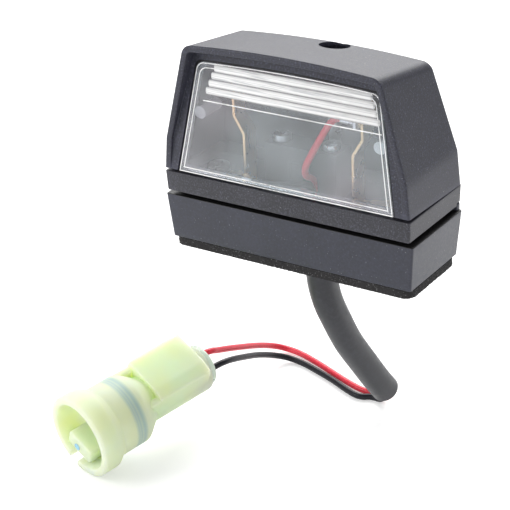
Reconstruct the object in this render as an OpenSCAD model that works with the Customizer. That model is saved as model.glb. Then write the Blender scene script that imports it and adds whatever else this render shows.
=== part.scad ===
// Number plate lamp with a festoon bulb, a clear ribbed lens and a plugged lead.
// Millimetres, +Z up, +X along the lamp, the lens faces -Y.
// The origin is the middle of the foam pad's underside, where the lamp meets its panel.

/* [Foam pad and plinth] */
// Thickness of the foam pad
pad_t = 2.2; // [1:0.1:4]
// Width of the plinth at its lower edge
plinth_w0 = 63.9; // [58:0.1:70]
// Width of the plinth at its upper edge
plinth_w1 = 65.8; // [60:0.1:72]
// Depth of the plinth at its lower edge
plinth_d0 = 22.4; // [20:0.1:26]
// Depth of the plinth at its upper edge
plinth_d1 = 23.8; // [21:0.1:27]
// Height of the plinth
plinth_h = 11.2; // [9:0.1:18]
// Wall of the plinth
plinth_wall = 2.2; // [1.6:0.1:3]
// Deck of the plinth
deck_t = 2.2; // [1.6:0.1:3]
// Radius of the pad's corners seen from above
pad_corner_r = 2.5; // [1:0.1:4]
// Radius of the upright corners of plinth and tray seen from above
corner_r = 0.6; // [0.3:0.1:2]
// Height of the lip at the back of the plinth
lip_h = 1.8; // [1.4:0.1:3]
// Thickness of that lip
lip_t = 1.4; // [0.6:0.1:1.6]
// Distance between the two fixing inserts
insert_pitch = 38; // [34:0.5:40]
// Outer radius of a fixing insert
insert_r = 2.8; // [2.2:0.1:3.2]
// Thread radius of a fixing insert
insert_bore_r = 1.65; // [1.2:0.05:2]
// Length of a fixing insert
insert_l = 8; // [5:0.5:8.5]

/* [Groove and tray] */
// Height of the groove under the tray
groove_h = 1.1; // [0.8:0.1:2]
// Setback of the seal in the groove
seal_setback = 2.2; // [1.5:0.1:3]
// Width of the seal ring
seal_w = 1.8; // [1:0.1:2.4]
// Width of the tray at its lower edge
tray_w0 = 64.4; // [60:0.1:72]
// Width of the lamp where the hood meets the tray
tray_w1 = 64.8; // [61:0.1:72]
// Depth of the tray at its lower edge
tray_d0 = 24.4; // [22:0.1:28]
// Depth of the lamp where the hood meets the tray
tray_d1 = 24.8; // [23:0.1:28]
// Height of the tray
tray_h = 5; // [4:0.1:8]
// Floor of the tray
tray_floor = 2; // [1.5:0.1:2.6]
// Wall of the tray
tray_wall = 2.2; // [1.6:0.1:3]
// Room between a foot of the tray and the seal ring
foot_room = 1.2; // [0.6:0.1:3]

/* [Hood] */
// Height of the hood's front edge above the tray, at the middle
hood_h = 32.8; // [30:0.1:40]
// Height above the tray of the bend in the hood's ends
bend_h = 8.2; // [5:0.1:12]
// Width of the hood at that bend
bend_w = 63.2; // [56:0.1:70]
// Width of the hood at its shoulders
shoulder_w = 50.8; // [44:0.1:56]
// Drop from the middle of the roof to its shoulders
crown_h = 1.1; // [0.3:0.1:2]
// Radius of the shoulders
shoulder_r = 3; // [1:0.1:5]
// Flare of the shoulders towards the back, in degrees
shoulder_flare = 0.6; // [0:0.1:2]
// Fall of the roof towards the back, in degrees
roof_fall = 7.9; // [0:0.1:12]
// Lean of the upper back wall, in degrees
back_lean = 4.4; // [0:0.1:8]
// Wall of the hood
hood_wall = 1.8; // [1.2:0.1:2.4]
// Width of the rim around the front
rim_w = 1.6; // [1:0.1:2.4]
// Tilt of the lens and its frame, in degrees
face_tilt = 6.6; // [0:0.1:9]
// Gap between tray and hood at the lamp's front, which closes towards its back
foot_gap = 0.7; // [0.2:0.05:0.9]

/* [Lens] */
// Width of the lens at its lower edge
lens_w0 = 56.8; // [48:0.1:58]
// Width of the lens at its upper edge
lens_w1 = 47; // [40:0.1:47.4]
// Height of the lens
lens_h = 27.9; // [24:0.1:28.2]
// Thickness of the lens
lens_t = 1.8; // [1.2:0.1:2]
// Height of the lens's foot above the tray
lens_foot = 0.6; // [0.2:0.05:0.9]
// Width of the raised border on the inside of the lens
border_w = 1.2; // [0.8:0.1:2]
// Depth of that border
border_t = 0.9; // [0.4:0.1:1.1]
// Width of the black seal round the lens
lens_seal_w = 0.5; // [0.3:0.05:0.7]
// Number of prism ribs
rib_n = 4; // [2:1:4]
// Distance between two ribs
rib_pitch = 1.8; // [1.6:0.05:1.8]
// Radius of a rib
rib_r = 0.9; // [0.8:0.05:0.9]
// Room between the highest rib and the upper edge of the lens
rib_room = 0.7; // [0.7:0.05:2]
// Room between the lowest rib and the lens's left edge
rib_left = 3.5; // [3:0.1:8]
// Room between the lowest rib and the lens's right edge
rib_right = 0.7; // [0.7:0.1:8]
// Radius of a lens peg
peg_r = 1.5; // [1:0.1:1.8]
// Length of a lens peg
peg_l = 7.5; // [4:0.1:9]
// Distance between the two lens pegs
peg_pitch = 47; // [42:0.5:47]
// Height of the lens pegs above the tray
peg_z = 14.8; // [12:0.1:18]

/* [Cover screw] */
// Place of the screw along the lamp
screw_x = 3; // [0:0.1:5]
// Distance of the screw's axis from the lamp's back
screw_inset = 5.6; // [5.5:0.1:6]
// Radius of the screw's access hole in the roof
access_r = 3.6; // [3.3:0.1:3.8]
// Wall of the tube under that hole
tube_wall = 0.8; // [0.6:0.1:0.8]
// Depth of the screw's seat above the tray
seat_z = 16.5; // [12:0.5:20]
// Radius of the screw's shank
shank_r = 1.45; // [1.2:0.05:1.6]

/* [Bulb and contacts] */
// Length of the festoon bulb over its tips
bulb_l = 36; // [34:0.5:37]
// Room between the bulb's glass and the lens
bulb_front_room = 0.37; // [0.2:0.01:1]
// Room between the bulb's glass and the screw's tube
bulb_back_room = 0.1; // [0.1:0.05:0.6]
// Step from the bulb's glass down to its end caps
cap_step = 0.7; // [0.4:0.1:1.2]
// Length of a cap
cap_l = 4.6; // [3:0.1:6]
// Height of the bulb's axis above the tray
bulb_z = 23.5; // [22:0.1:24]
// Thickness of a contact strip
strip_t = 0.6; // [0.4:0.05:0.8]
// Width of a contact strip
strip_w = 4.4; // [3.6:0.1:5]
// Length of a contact's foot
foot_l = 6.6; // [5:0.1:7]

/* [Lead block] */
// Width of the block that holds the leads
block_w = 19.1; // [16:0.1:21]
// Distance of the block from the lamp's front
block_inset = 8.4; // [8:0.1:9]
// Room between the block and the post behind it
block_room = 0.6; // [0.3:0.1:1.5]
// Height of the block
block_h = 11.5; // [9:0.1:12]

/* [Lead and plug] */
// Outer diameter of the lead's sleeve
sleeve_d = 7.6; // [6:0.1:7.8]
// Outer diameter of the sleeve at its lower end
sleeve_end_d = 7; // [6:0.1:7.4]
// Outer diameter of a wire
wire_d = 1.6; // [1.2:0.1:1.8]
// Length of the plug
plug_l = 39.2; // [38:0.1:42]
// Radius of the plug's barrel
plug_r = 9.05; // [8.8:0.05:9.2]
// Radius of the rim at the plug's mouth
plug_rim_r = 10.6; // [10:0.05:10.65]
// Inner radius of the plug's mouth at its rim
mouth_r = 8.6; // [8.4:0.05:8.8]
// Depth of the plug's mouth
mouth_l = 14.4; // [14:0.1:15]
// Distance between the two wires in the plug
wire_pitch = 4.8; // [4.6:0.1:5]

/* [Hidden] */

$fn = 48;
gap = 0.05;
far = 60;

plinth_z0 = pad_t;
plinth_z1 = plinth_z0 + plinth_h;
deck_z = plinth_z1 - deck_t;
tray_z0 = plinth_z1 + groove_h;
floor_z = tray_z0 + tray_floor;
tray_z1 = tray_z0 + tray_h;
roof_z = tray_z1 + hood_h;
front_y = -tray_d1 / 2;
back_y = tray_d1 / 2;

insert_x = insert_pitch / 2;
insert_wall = 1.4;
insert_top = plinth_z0 + insert_l;
boss_r = insert_r + insert_wall;
pad_hole_r = insert_bore_r + 0.8;
pad_inset = 0.1;
pad_side_inset = 0.2;
tray_screw_r = 1.45;
tray_head_r = 2.6;
tray_head_h = 1.6;
tray_foot_r = 2.7;
tray_screw_x = min(plinth_w1 / 2 - seal_setback - seal_w - foot_room - tray_foot_r,
                   tray_w0 / 2 - tray_wall - foot_room - tray_head_r);
tray_screw_z = insert_top + 0.5;
screw_boss_wall = 1.2;
lip_sink = 0.2;
lip_room = 0.2;
seal_corner_r = 2;

exit_x = 2;
tail_wall = 1.6;
tail_r = sleeve_d / 2 + tail_wall;
flange_w = 1;
flange_t = 1.6;
pad_tail_room = 0.4;
tail_z = 0.4;
sleeve_top_z = 5;
deck_hole_r = tail_r - 0.8;
grommet_flange_r = tail_r + flange_w;
lead_hole_r = 2.6;

bend_z = tray_z1 + bend_h;
shoulder_z = roof_z - crown_h;
flank = (bend_w - shoulder_w) / 2 / (shoulder_z - bend_z);
slope = atan(flank);
back_slope = slope + 1.6;
shoulder_fall = 0.82 * crown_h;
top_slope = 5;
low_z = tray_z1 - 1;
lens_z0 = tray_z1 + lens_foot;
lens_z1 = tray_z1 + lens_h;
frame_t = lens_t;
seat_t = 2;
boss_z = tray_z1 + seat_z - seat_t;
screw_seat_z = tray_z1 + seat_z;
tube_r = access_r + tube_wall;
screw_y = back_y - screw_inset;
post_step = 1.2;
post_r = tube_r - post_step;
washer_t = 0.6;
shank_room = 0.2;
cover_head_room = 0.6;
cover_head_h = 2;
pilot_h = 4;
pilot_z = floor_z + pilot_h;
cover_screw_z = pilot_z + pilot_h;
lens_corner_r = 2;
lens_crown = 0.6;
lens_seal_sink = 0.2;
rib_step = 0.4;
rib_sink = 0.5;
peg_sink = 0.4;

axis_z = tray_z1 + bulb_z;
bulb_roof_room = 0.7;
bulb_r = min((screw_y - tube_r - face_y(axis_z, lens_t) - bulb_front_room - bulb_back_room) / 2,
             roof_z - hood_wall + front_y * tan(roof_fall) - axis_z - bulb_roof_room);
bulb_y = screw_y - tube_r - bulb_back_room - bulb_r;
cap_r = bulb_r - cap_step;
tip_l = 1.4;
tip_r = 1.3;
glass_wall = 0.7;
cap_x = bulb_l / 2 - tip_l - cap_l;
coil_l = 10;
coil_r = 0.6;
filament_r = 0.3;
strip_x = bulb_l / 2 - 1.1;
strip_over = 3.4;
kink_w = 2.5;
kink_x = strip_x - kink_w;
kink_z1 = axis_z - 9.6;
kink_z0 = kink_z1 - 4.2;
kink_step = 0.1;
rivet_inset = 2.2;
rivet_x = kink_x + foot_l - rivet_inset;
rivet_r = 1.1;
rivet_head_r = 1.9;
rivet_head_h = 0.8;
rivet_foot_h = 0.7;
terminal_r = 1.2;
terminal_bore_l = 1.2;
tab_t = 2;
tab_lap = 1;
tab_inset = 0.8;
left_y = bulb_y - 3.4;
left_z = floor_z + 2.1;
left_reach = 3;
right_z = axis_z - cap_r - 0.4;
right_y = face_y(right_z, lens_t) + terminal_r + 1;
right_reach = 4.1;

block_y0 = front_y + block_inset;
block_d = screw_y - post_r - block_room - block_y0;
block_z1 = floor_z + block_h;
block_screw_inset = 3;
block_screw_x = block_w / 2 - block_screw_inset;
block_screw_r = 1.15;
block_head_r = 2.1;
block_head_h = 1.4;
block_screw_z = tray_z0 + 0.4;
block_mouth_x = exit_x - 1;
block_mouth_w = 7.2;
block_mouth_h = 7.6;
block_back = 1.4;

// Route of the sleeve's middle line, chosen by hand: down from the grommet and back to the table.
SLEEVE = [[2, 0, 5], [2, 0, 2], [2, 0, -1], [2.2, 0, -4], [2.5, 0.3, -8], [3.2, 1.2, -12.7],
          [4.1, 3.2, -18], [5.1, 6.8, -25.4], [6.3, 12, -33.4], [7.1, 16.6, -40], [7.55, 20.56, -44.95]];

// Route of the red wire, from the end of the sleeve round the table to the plug.
RED = [[7.55, 21.4, -44.4], [6.8, 22.4, -46.4], [5.2, 23.6, -48.4], [2.8, 24.3, -49.5],
       [-1.3, 24.3, -49.6], [-6.6, 25.9, -49.6], [-12.7, 28.4, -49.6], [-18.7, 30.9, -49.6],
       [-25.5, 33.1, -49.5], [-30.4, 33, -49.1], [-32.3, 29.6, -47.3], [-32.2, 22.9, -44],
       [-31.5, 15.2, -40.5], [-30.8, 7.9, -37.3], [-30.5, 1.9, -34.9], [-30.4, -0.4, -33.9],
       [-31.06, -2.63, -33.68], [-31.75, -5.02, -33.99], [-31.97, -5.78, -34.09]];

// Route of the black wire, beside the red one.
BLACK = [[7.55, 19.9, -45.6], [6.9, 20.9, -47.5], [5.4, 21.9, -49.2], [3.4, 22.4, -49.6],
         [1.8, 22.1, -49.6], [0.4, 21.3, -49.6], [-1.8, 21.3, -49.6], [-5.5, 22.7, -49.6], [-10.6, 25, -49.6],
         [-16.5, 27.2, -49.6], [-22.2, 29, -49.6], [-26.6, 28.7, -49], [-28.5, 24.3, -46.6],
         [-28.2, 16.7, -42.8], [-26.9, 8.3, -39], [-26.1, 1.9, -36.4], [-26.1, -1.4, -35.5],
         [-26.76, -3.64, -35.54], [-27.45, -6.02, -35.85], [-27.67, -6.78, -35.95]];

// Route of the red wire inside the lamp, from the sleeve to its terminal.
INNER_RED = [[2.9, 0, 5.1], [2.9, 0, 12], [2.9, -0.4, 17], [2.6, -2.4, 20.4], [2.4, -5.2, 22.4],
             [3.2, -6.4, 25.4], [6.2, -6.4, 31], [9.2, -6.4, 36], [10.8, -6.3, 37.8], [12.4, -6.2, 38.4],
             [13.9, -6.2, 38.4]];

// Route of the black wire inside the lamp, from the sleeve to its terminal.
INNER_BLACK = [[1.1, 0, 5.1], [1.1, 0, 12], [1.1, -0.4, 16.6], [0.4, -2.4, 18.6], [-1.4, -5.2, 19.4],
               [-5, -6.4, 19.2], [-8.2, -6.1, 18.8], [-10, -6, 18.6], [-11.2, -6, 18.6],
               [-12.6, -6, 18.6]];

// The plug's own frame: its back at the origin, its mouth at +X, its flat block at +Z.
plug_at = [-29.6, -5.52, -34.92];
plug_turn = [-23.1, 7.1, -106.2];
plug_mouth_x = plug_l - mouth_l;
mouth_taper = 0.9;
mouth_root_l = 5.2;
plug_block_x0 = 3.4;
plug_block_x1 = 19.1;
plug_block = [[-7.3, -0.5], [6, -0.5], [6, 5.9], [3.1, 6.9], [-7.3, 7.1]];
cheek_w = 2;
cheek_z = 5.6;
plug_tail_r = 6.1;
plug_cone_x0 = 19.7;
plug_cone_x1 = 23.8;
plug_edge = 0.6;
rim_l = 5;
rim_slope_l = 2.2;
retainer_l = 1.6;
retainer_step = 0.7;
retainer_edge = 0.8;
tongue_y = -0.6;
tongue_w = 8.4;
tongue_z0 = -7.6;
tongue_z1 = -3.4;
tongue_x1 = plug_l - 1.2;
key_w = 3;
key_l = 5;
key_y = -0.9;
pin_x0 = 7;
pin_step_x = 22;
pin_z = -5.5;
crimp_l = 5;
crimp_w = 2.2;
blade_w = 1.4;
blade_t = 0.7;
blade_end = 2.2;
pin_room = 0.1;
wire_seal_r = 2.1;
wire_seal_l = 4.2;
plug_seal_x = 0.8;
plug_seal_w = 2.2;
lock_x = tongue_x1 - 2;
lock_y = -1.3;
lock_z = -6;
lock_r = 0.9;
lock_l = 2.1;

// Half width of the hood's end at height z, with its wall taken off.
function hood_half(z, inset) =
    (z < bend_z ? tray_w1 / 2 - (tray_w1 - bend_w) / 2 * (z - tray_z1) / bend_h
                : bend_w / 2 - flank * (z - bend_z)) - inset;

// Half width of the lens at height z, grown by a margin.
function lens_half(z, grow) = lens_w0 / 2 - (lens_w0 - lens_w1) / 2 * (z - tray_z1) / lens_h + grow;

// Height of a crowned top edge at a share u of its half width, from -1 to 1.
function crown(u, top, rise) = top - rise * u * u;

// Points of an arc about c, from angle a0 to a1 in n steps.
function arc(c, r, a0, a1, n) = [for (i = [0 : n]) let (a = a0 + (a1 - a0) * i / n) c + r * [cos(a), sin(a)]];

// Place across the lamp of the tilted lens face at height z, at a depth behind it.
function face_y(z, depth) = front_y + (z - tray_z1) * tan(face_tilt) + depth / cos(face_tilt);

// A point on a smooth curve through a, b, c and d, between b and c.
function blend(a, b, c, d, t) =
    0.5 * (2 * b + (c - a) * t + (2 * a - 5 * b + 4 * c - d) * t * t + (3 * b - a - 3 * c + d) * t * t * t);

// A route made finer, with a number of steps between two of its points.
function fine(p, steps) = [for (i = [0 : len(p) - 2], k = [0 : steps - 1])
    blend(p[max(i - 1, 0)], p[i], p[i + 1], p[min(i + 2, len(p) - 1)], k / steps), p[len(p) - 1]];

// Direction of a route at its point i.
function heading(p, i) = let (d = p[min(i + 1, len(p) - 1)] - p[max(i - 1, 0)]) d / norm(d);

// A ring of points round a route's point, square to its direction.
function ring(c, t, side, r, n) =
    let (u = cross(t, side) / norm(cross(t, side)), v = cross(t, u))
    [for (k = [0 : n - 1]) c + r * (cos(360 * k / n) * u + sin(360 * k / n) * v)];

// Round tube along a route, of radius r0 at its start and r1 at its end.
// side is a direction that the route never takes.
module tube(route, r0, r1, n, steps, side) {
    p = fine(route, steps);
    m = len(p);
    points = [for (i = [0 : m - 1]) each ring(p[i], heading(p, i), side, r0 + (r1 - r0) * i / (m - 1), n)];
    walls = [for (i = [0 : m - 2], k = [0 : n - 1])
        [i * n + k, (i + 1) * n + k, (i + 1) * n + (k + 1) % n, i * n + (k + 1) % n]];
    start = [for (k = [0 : n - 1]) k];
    end = [for (k = [n - 1 : -1 : 0]) (m - 1) * n + k];
    polyhedron(points, concat([start], walls, [end]), convexity = 10);
}

// Outline drawn in X and Z, carried along Y.
module front_prism(outline, y0, y1) {
    translate([0, y1, 0]) rotate([90, 0, 0]) linear_extrude(y1 - y0) polygon(outline);
}

// Outline drawn in Y and Z, carried along X.
module side_prism(outline, half) {
    translate([-half, 0, 0]) rotate([90, 0, 90]) linear_extrude(2 * half) polygon(outline);
}

// Rectangle with round corners, centred.
module round_plate(w, d, r) {
    square([w - 2 * r, d], center = true);
    square([w, d - 2 * r], center = true);
    for (x = [-1, 1], y = [-1, 1]) translate([x * (w / 2 - r), y * (d / 2 - r)]) circle(r);
}

// Box that widens from w0 by d0 at z0 to w1 by d1 at z1, with round upright corners.
module tapered_box(w0, d0, w1, d1, z0, z1, r) {
    intersection() {
        front_prism([[-w0 / 2, z0], [w0 / 2, z0], [w1 / 2, z1], [-w1 / 2, z1]], -far, far);
        side_prism([[-d0 / 2, z0], [d0 / 2, z0], [d1 / 2, z1], [-d1 / 2, z1]], far);
        translate([0, 0, z0]) linear_extrude(z1 - z0) round_plate(max(w0, w1), max(d0, d1), r);
    }
}

// Slab that follows the tilt of the lens, between two depths behind its face, from height low.
module face_slab(d0, d1, low) {
    side_prism([[face_y(low, d0), low], [face_y(far, d0), far], [face_y(far, d1), far], [face_y(low, d1), low]],
               far);
}

// Middle of the round shoulder on the +X side, with a wall taken off the outside.
function shoulder_c(r, inset) =
    let (z = roof_z - inset - shoulder_fall - r) [hood_half(z, inset) - r / cos(slope), z];

// Part of the hood on one shoulder's side: its side plane, its round shoulder and what lies beyond them.
module shoulder(side, inset) {
    r = max(shoulder_r - inset, 0.5);
    c = shoulder_c(r, inset);
    outline = concat([c + r * [cos(back_slope), sin(back_slope)] + far * [sin(back_slope), -cos(back_slope)]],
                     arc(c, r, back_slope, 90 - top_slope, 6),
                     [c + r * [sin(top_slope), cos(top_slope)] + 2 * far * [-cos(top_slope), sin(top_slope)],
                      [-2 * far, -far]]);
    translate([0, front_y, roof_z]) rotate([-roof_fall, 0, -side * shoulder_flare]) translate([0, 0, -roof_z])
        front_prism([for (q = outline) [side * q.x, q.y]], -far, far);
}

// Body of the hood, solid, with a wall taken off its outside.
module hood_form(inset) {
    low = tray_z1;
    ends = [[hood_half(low, inset), low], [hood_half(bend_z, inset), bend_z], [hood_half(far, inset), far]];
    roof = concat([[far, 0]],
                  [for (u = [5 : -1 : -5]) [u / 4 * shoulder_w / 2, crown(u / 4, roof_z - inset, crown_h)]],
                  [[-far, 0]]);
    back = back_y - inset;
    lean = tan(back_lean);
    intersection() {
        front_prism(concat(ends, [for (i = [2 : -1 : 0]) [-ends[i].x, ends[i].y]]), -far, far);
        translate([0, front_y, roof_z]) rotate([-roof_fall, 0, 0]) translate([0, 0, -roof_z])
            front_prism(roof, -far, far);
        shoulder(-1, inset);
        shoulder(1, inset);
        side_prism([[front_y, low + foot_gap], [back, low], [back, bend_z],
                    [back - (far - bend_z) * lean, far], [front_y, far]], far);
    }
}

// Outline of the lens, grown by a margin, with a crowned top and round corners, from height low.
function lens_outline(grow, low) =
    let (r = lens_corner_r, z1 = lens_z1 + grow, half = lens_half(lens_z1, grow), c = [half - r, z1 - r - lens_crown])
    concat([[lens_half(low, grow), low]],
           arc(c, r, 10, 80, 5),
           [for (u = [0.8, 0.6, 0.4, 0.2, 0, -0.2, -0.4, -0.6, -0.8]) [u * half, crown(u, z1, lens_crown)]],
           [for (q = arc(c, r, 80, 10, 5)) [-q.x, q.y]],
           [[-lens_half(low, grow), low]]);

// Outline of the recess inside the hood's front rim.
function recess_outline() =
    let (r = shoulder_r - rim_w, c = shoulder_c(r, rim_w), top = roof_z - rim_w, half = shoulder_w / 2)
    concat([[hood_half(low_z, rim_w), low_z], [hood_half(bend_z, rim_w), bend_z]],
           arc(c, r, slope, 90 - top_slope, 5),
           [for (u = [3 : -1 : -3]) [u / 4 * half, crown(u / 4, top, crown_h)]],
           [for (q = arc(c, r, 90 - top_slope, slope, 5)) [-q.x, q.y]],
           [[-hood_half(bend_z, rim_w), bend_z], [-hood_half(low_z, rim_w), low_z]]);

// Upright cylinder from z0 to z1.
module post(x, y, z0, z1, r) {
    translate([x, y, z0]) cylinder(h = z1 - z0, r = r);
}

// Screw pointing down, with its head on z and a cross in the head.
module screw_down(x, y, z, head_r, head_h, r, length) {
    difference() {
        union() {
            post(x, y, z - length, z, r);
            post(x, y, z, z + head_h, head_r);
        }
        for (a = [0, 90]) translate([x, y, z + head_h]) rotate([0, 0, a])
            cube([head_r * 1.2, 0.6, head_h], center = true);
    }
}

module foam_pad() {
    color([0.13, 0.13, 0.13]) difference() {
        linear_extrude(pad_t)
            round_plate(plinth_w0 - 2 * pad_inset, plinth_d0 - 2 * pad_side_inset, pad_corner_r);
        for (x = [-1, 1]) post(x * insert_x, 0, -1, pad_t + 1, pad_hole_r);
        post(exit_x, 0, -1, pad_t + 1, tail_r + pad_tail_room);
    }
}

module plinth() {
    w = 2 * plinth_wall;
    color([0.25, 0.26, 0.28]) difference() {
        union() {
            difference() {
                tapered_box(plinth_w0, plinth_d0, plinth_w1, plinth_d1, plinth_z0, plinth_z1, corner_r);
                tapered_box(plinth_w0 - w, plinth_d0 - w, plinth_w1 - w, plinth_d1 - w,
                            plinth_z0 - gap, deck_z, 1);
            }
            for (x = [-1, 1]) post(x * insert_x, 0, plinth_z0, deck_z + 1, boss_r);
            for (x = [-1, 1]) post(x * tray_screw_x, 0, plinth_z0 + insert_l / 2, deck_z + 1,
                                   tray_screw_r + screw_boss_wall);
            translate([-plinth_w1 / 2 + corner_r, plinth_d1 / 2 - lip_t, plinth_z1 - lip_sink])
                cube([plinth_w1 - 2 * corner_r, lip_t, lip_sink + lip_h]);
        }
        for (x = [-1, 1]) post(x * insert_x, 0, plinth_z0 - 1, insert_top, insert_r);
        for (x = [-1, 1]) post(x * tray_screw_x, 0, tray_screw_z - gap, plinth_z1 + 1, tray_screw_r + gap);
        post(exit_x, 0, plinth_z0 - 1, plinth_z1 + 1, deck_hole_r);
    }
}

module threaded_inserts() {
    color([0.8, 0.65, 0.3]) for (x = [-1, 1]) difference() {
        post(x * insert_x, 0, plinth_z0, insert_top, insert_r);
        post(x * insert_x, 0, plinth_z0 - 1, insert_top + 1, insert_bore_r);
    }
}

// Rubber gland: a tail round the sleeve, flanges above and below the deck.
module grommet() {
    color([0.12, 0.12, 0.13]) difference() {
        union() {
            post(exit_x, 0, tail_z, deck_z, tail_r);
            post(exit_x, 0, deck_z - flange_t, deck_z, grommet_flange_r);
            post(exit_x, 0, deck_z - 1, plinth_z1 + gap, deck_hole_r);
            post(exit_x, 0, plinth_z1, tray_z0, grommet_flange_r);
        }
        post(exit_x, 0, tail_z - 1, sleeve_top_z, sleeve_d / 2 + gap);
        post(exit_x, 0, tail_z, tray_z0 + 1, lead_hole_r);
    }
}

module base_seal() {
    w = plinth_w1 - 2 * seal_setback;
    d = plinth_d1 - 2 * seal_setback;
    color([0.06, 0.06, 0.06]) translate([0, 0, plinth_z1]) linear_extrude(groove_h) difference() {
        round_plate(w, d, seal_corner_r);
        round_plate(w - 2 * seal_w, d - 2 * seal_w, 1);
    }
}

module tray() {
    w = 2 * tray_wall;
    color([0.2, 0.2, 0.21]) difference() {
        union() {
            difference() {
                tapered_box(tray_w0, tray_d0, tray_w1, tray_d1, tray_z0, tray_z1, corner_r);
                tapered_box(tray_w0 - w, tray_d0 - w, tray_w1 - w, tray_d1 - w, floor_z, tray_z1 + gap, 1);
            }
            for (x = [-1, 1]) post(x * tray_screw_x, 0, plinth_z1, tray_z0 + 1, tray_foot_r);
            post(screw_x, screw_y, tray_z0 + 1, boss_z, post_r);
        }
        translate([-far, plinth_d1 / 2 - lip_t - lip_room, plinth_z1])
            cube([2 * far, far, lip_h + lip_room]);
        for (x = [-1, 1]) post(x * tray_screw_x, 0, plinth_z1 - 1, floor_z + 1, tray_screw_r + gap);
        for (x = [-1, 1]) post(x * rivet_x, bulb_y, tray_z0 - 1, floor_z + 1, rivet_r);
        for (x = [-1, 1]) post(x * block_screw_x, block_y0 + block_d / 2, tray_z0 - 1, floor_z + 1,
                               block_screw_r + gap);
        post(screw_x, screw_y, pilot_z, boss_z + 1, shank_r + gap);
        post(exit_x, 0, tray_z0 - 1, floor_z + 1, lead_hole_r);
    }
}

module tray_screws() {
    color([0.75, 0.76, 0.78]) for (x = [-1, 1])
        screw_down(x * tray_screw_x, 0, floor_z, tray_head_r, tray_head_h, tray_screw_r, floor_z - tray_screw_z);
}

// Block that clamps the two leads, with an opening low in its front.
module lead_block() {
    color([0.16, 0.16, 0.17]) difference() {
        translate([-block_w / 2, block_y0, floor_z]) cube([block_w, block_d, block_h]);
        translate([block_mouth_x - block_mouth_w / 2, block_y0 - 1, floor_z - 1])
            cube([block_mouth_w, block_d - block_back + 1, block_mouth_h + 1]);
        for (x = [-1, 1]) post(x * block_screw_x, block_y0 + block_d / 2, floor_z - 1, block_z1 + 1,
                               block_screw_r + gap);
    }
}

module block_screws() {
    color([0.75, 0.76, 0.78]) for (x = [-1, 1])
        screw_down(x * block_screw_x, block_y0 + block_d / 2, block_z1, block_head_r, block_head_h,
                   block_screw_r, block_z1 - block_screw_z);
}

// Brass strip that stands on the tray, bends outwards and holds one end of the bulb.
module contact(side) {
    t = strip_t / 2;
    top = axis_z + strip_over;
    z0 = floor_z;
    outline = [[kink_x - t, z0], [kink_x + foot_l, z0], [kink_x + foot_l, z0 + strip_t],
               [kink_x + t, z0 + strip_t], [kink_x + t, kink_z0 - kink_step], [strip_x + t, kink_z1 - kink_step],
               [strip_x + t, top], [strip_x - t, top], [strip_x - t, kink_z1 + kink_step],
               [kink_x - t, kink_z0 + kink_step]];
    color([0.85, 0.6, 0.35]) difference() {
        front_prism([for (q = outline) [side * q.x, q.y]], bulb_y - strip_w / 2, bulb_y + strip_w / 2);
        translate([side * (strip_x - 2), bulb_y, axis_z]) rotate([0, 90 * side, 0]) cylinder(h = 4, r = tip_r + gap);
        post(side * rivet_x, bulb_y, z0 - 1, z0 + 2, rivet_r);
    }
}

module contact_left() {
    contact(-1);
}

module contact_right() {
    contact(1);
}

module contact_rivets() {
    color([0.85, 0.7, 0.35]) for (x = [-1, 1]) {
        post(x * rivet_x, bulb_y, tray_z0 - rivet_foot_h, floor_z + strip_t + rivet_head_h, rivet_r);
        post(x * rivet_x, bulb_y, floor_z + strip_t, floor_z + strip_t + rivet_head_h, rivet_head_r);
        post(x * rivet_x, bulb_y, tray_z0 - rivet_foot_h, tray_z0, rivet_head_r);
    }
}

// Crimped terminal: a barrel along X from x0 to x1 and a tab that lies on the strip.
module terminal(x0, x1, y, z, tab_x, tab_z) {
    turn = x1 > x0 ? 90 : -90;
    tab_y = y - tab_inset;
    color([0.8, 0.8, 0.82]) {
        difference() {
            translate([x0, y, z]) rotate([0, turn, 0]) cylinder(h = abs(x1 - x0), r = terminal_r);
            translate([x0, y, z]) rotate([0, turn, 0]) translate([0, 0, -1])
                cylinder(h = terminal_bore_l + 1, r = wire_d / 2 + gap);
        }
        translate([min(x1, tab_x), tab_y, tab_z]) cube([abs(tab_x - x1), bulb_y - strip_w / 2 + tab_lap - tab_y, tab_t]);
    }
}

module terminal_left() {
    terminal(left_reach - kink_x, -kink_x + 0.8, left_y, left_z, -kink_x + strip_t / 2, left_z - tab_t / 2);
}

module terminal_right() {
    terminal(strip_x - right_reach, strip_x - 1, right_y, right_z, strip_x - strip_t / 2, right_z - 0.9 * tab_t);
}

module bulb_glass() {
    color([0.9, 0.95, 1, 0.35]) translate([-cap_x, bulb_y, axis_z]) rotate([0, 90, 0]) difference() {
        cylinder(h = 2 * cap_x, r = bulb_r);
        translate([0, 0, glass_wall]) cylinder(h = 2 * (cap_x - glass_wall), r = bulb_r - glass_wall);
    }
}

module bulb_cap(side) {
    color([0.8, 0.8, 0.82]) translate([side * cap_x, bulb_y, axis_z]) rotate([0, 90 * side, 0]) {
        cylinder(h = cap_l, r = cap_r);
        cylinder(h = cap_l + tip_l, r = tip_r);
    }
}

module bulb_cap_left() {
    bulb_cap(-1);
}

module bulb_cap_right() {
    bulb_cap(1);
}

module bulb_filament() {
    half = cap_x - glass_wall;
    color([0.6, 0.6, 0.6]) translate([-half, bulb_y, axis_z]) rotate([0, 90, 0]) {
        cylinder(h = 2 * half, r = filament_r);
        translate([0, 0, half - coil_l / 2]) cylinder(h = coil_l, r = coil_r);
    }
}

module inner_red_wire() {
    color([0.85, 0.1, 0.15]) tube(INNER_RED, wire_d / 2, wire_d / 2, 8, 3, [1, 0, 0.2]);
}

module inner_black_wire() {
    color([0.1, 0.1, 0.1]) tube(INNER_BLACK, wire_d / 2, wire_d / 2, 8, 3, [0.3, 1, 1]);
}

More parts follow.
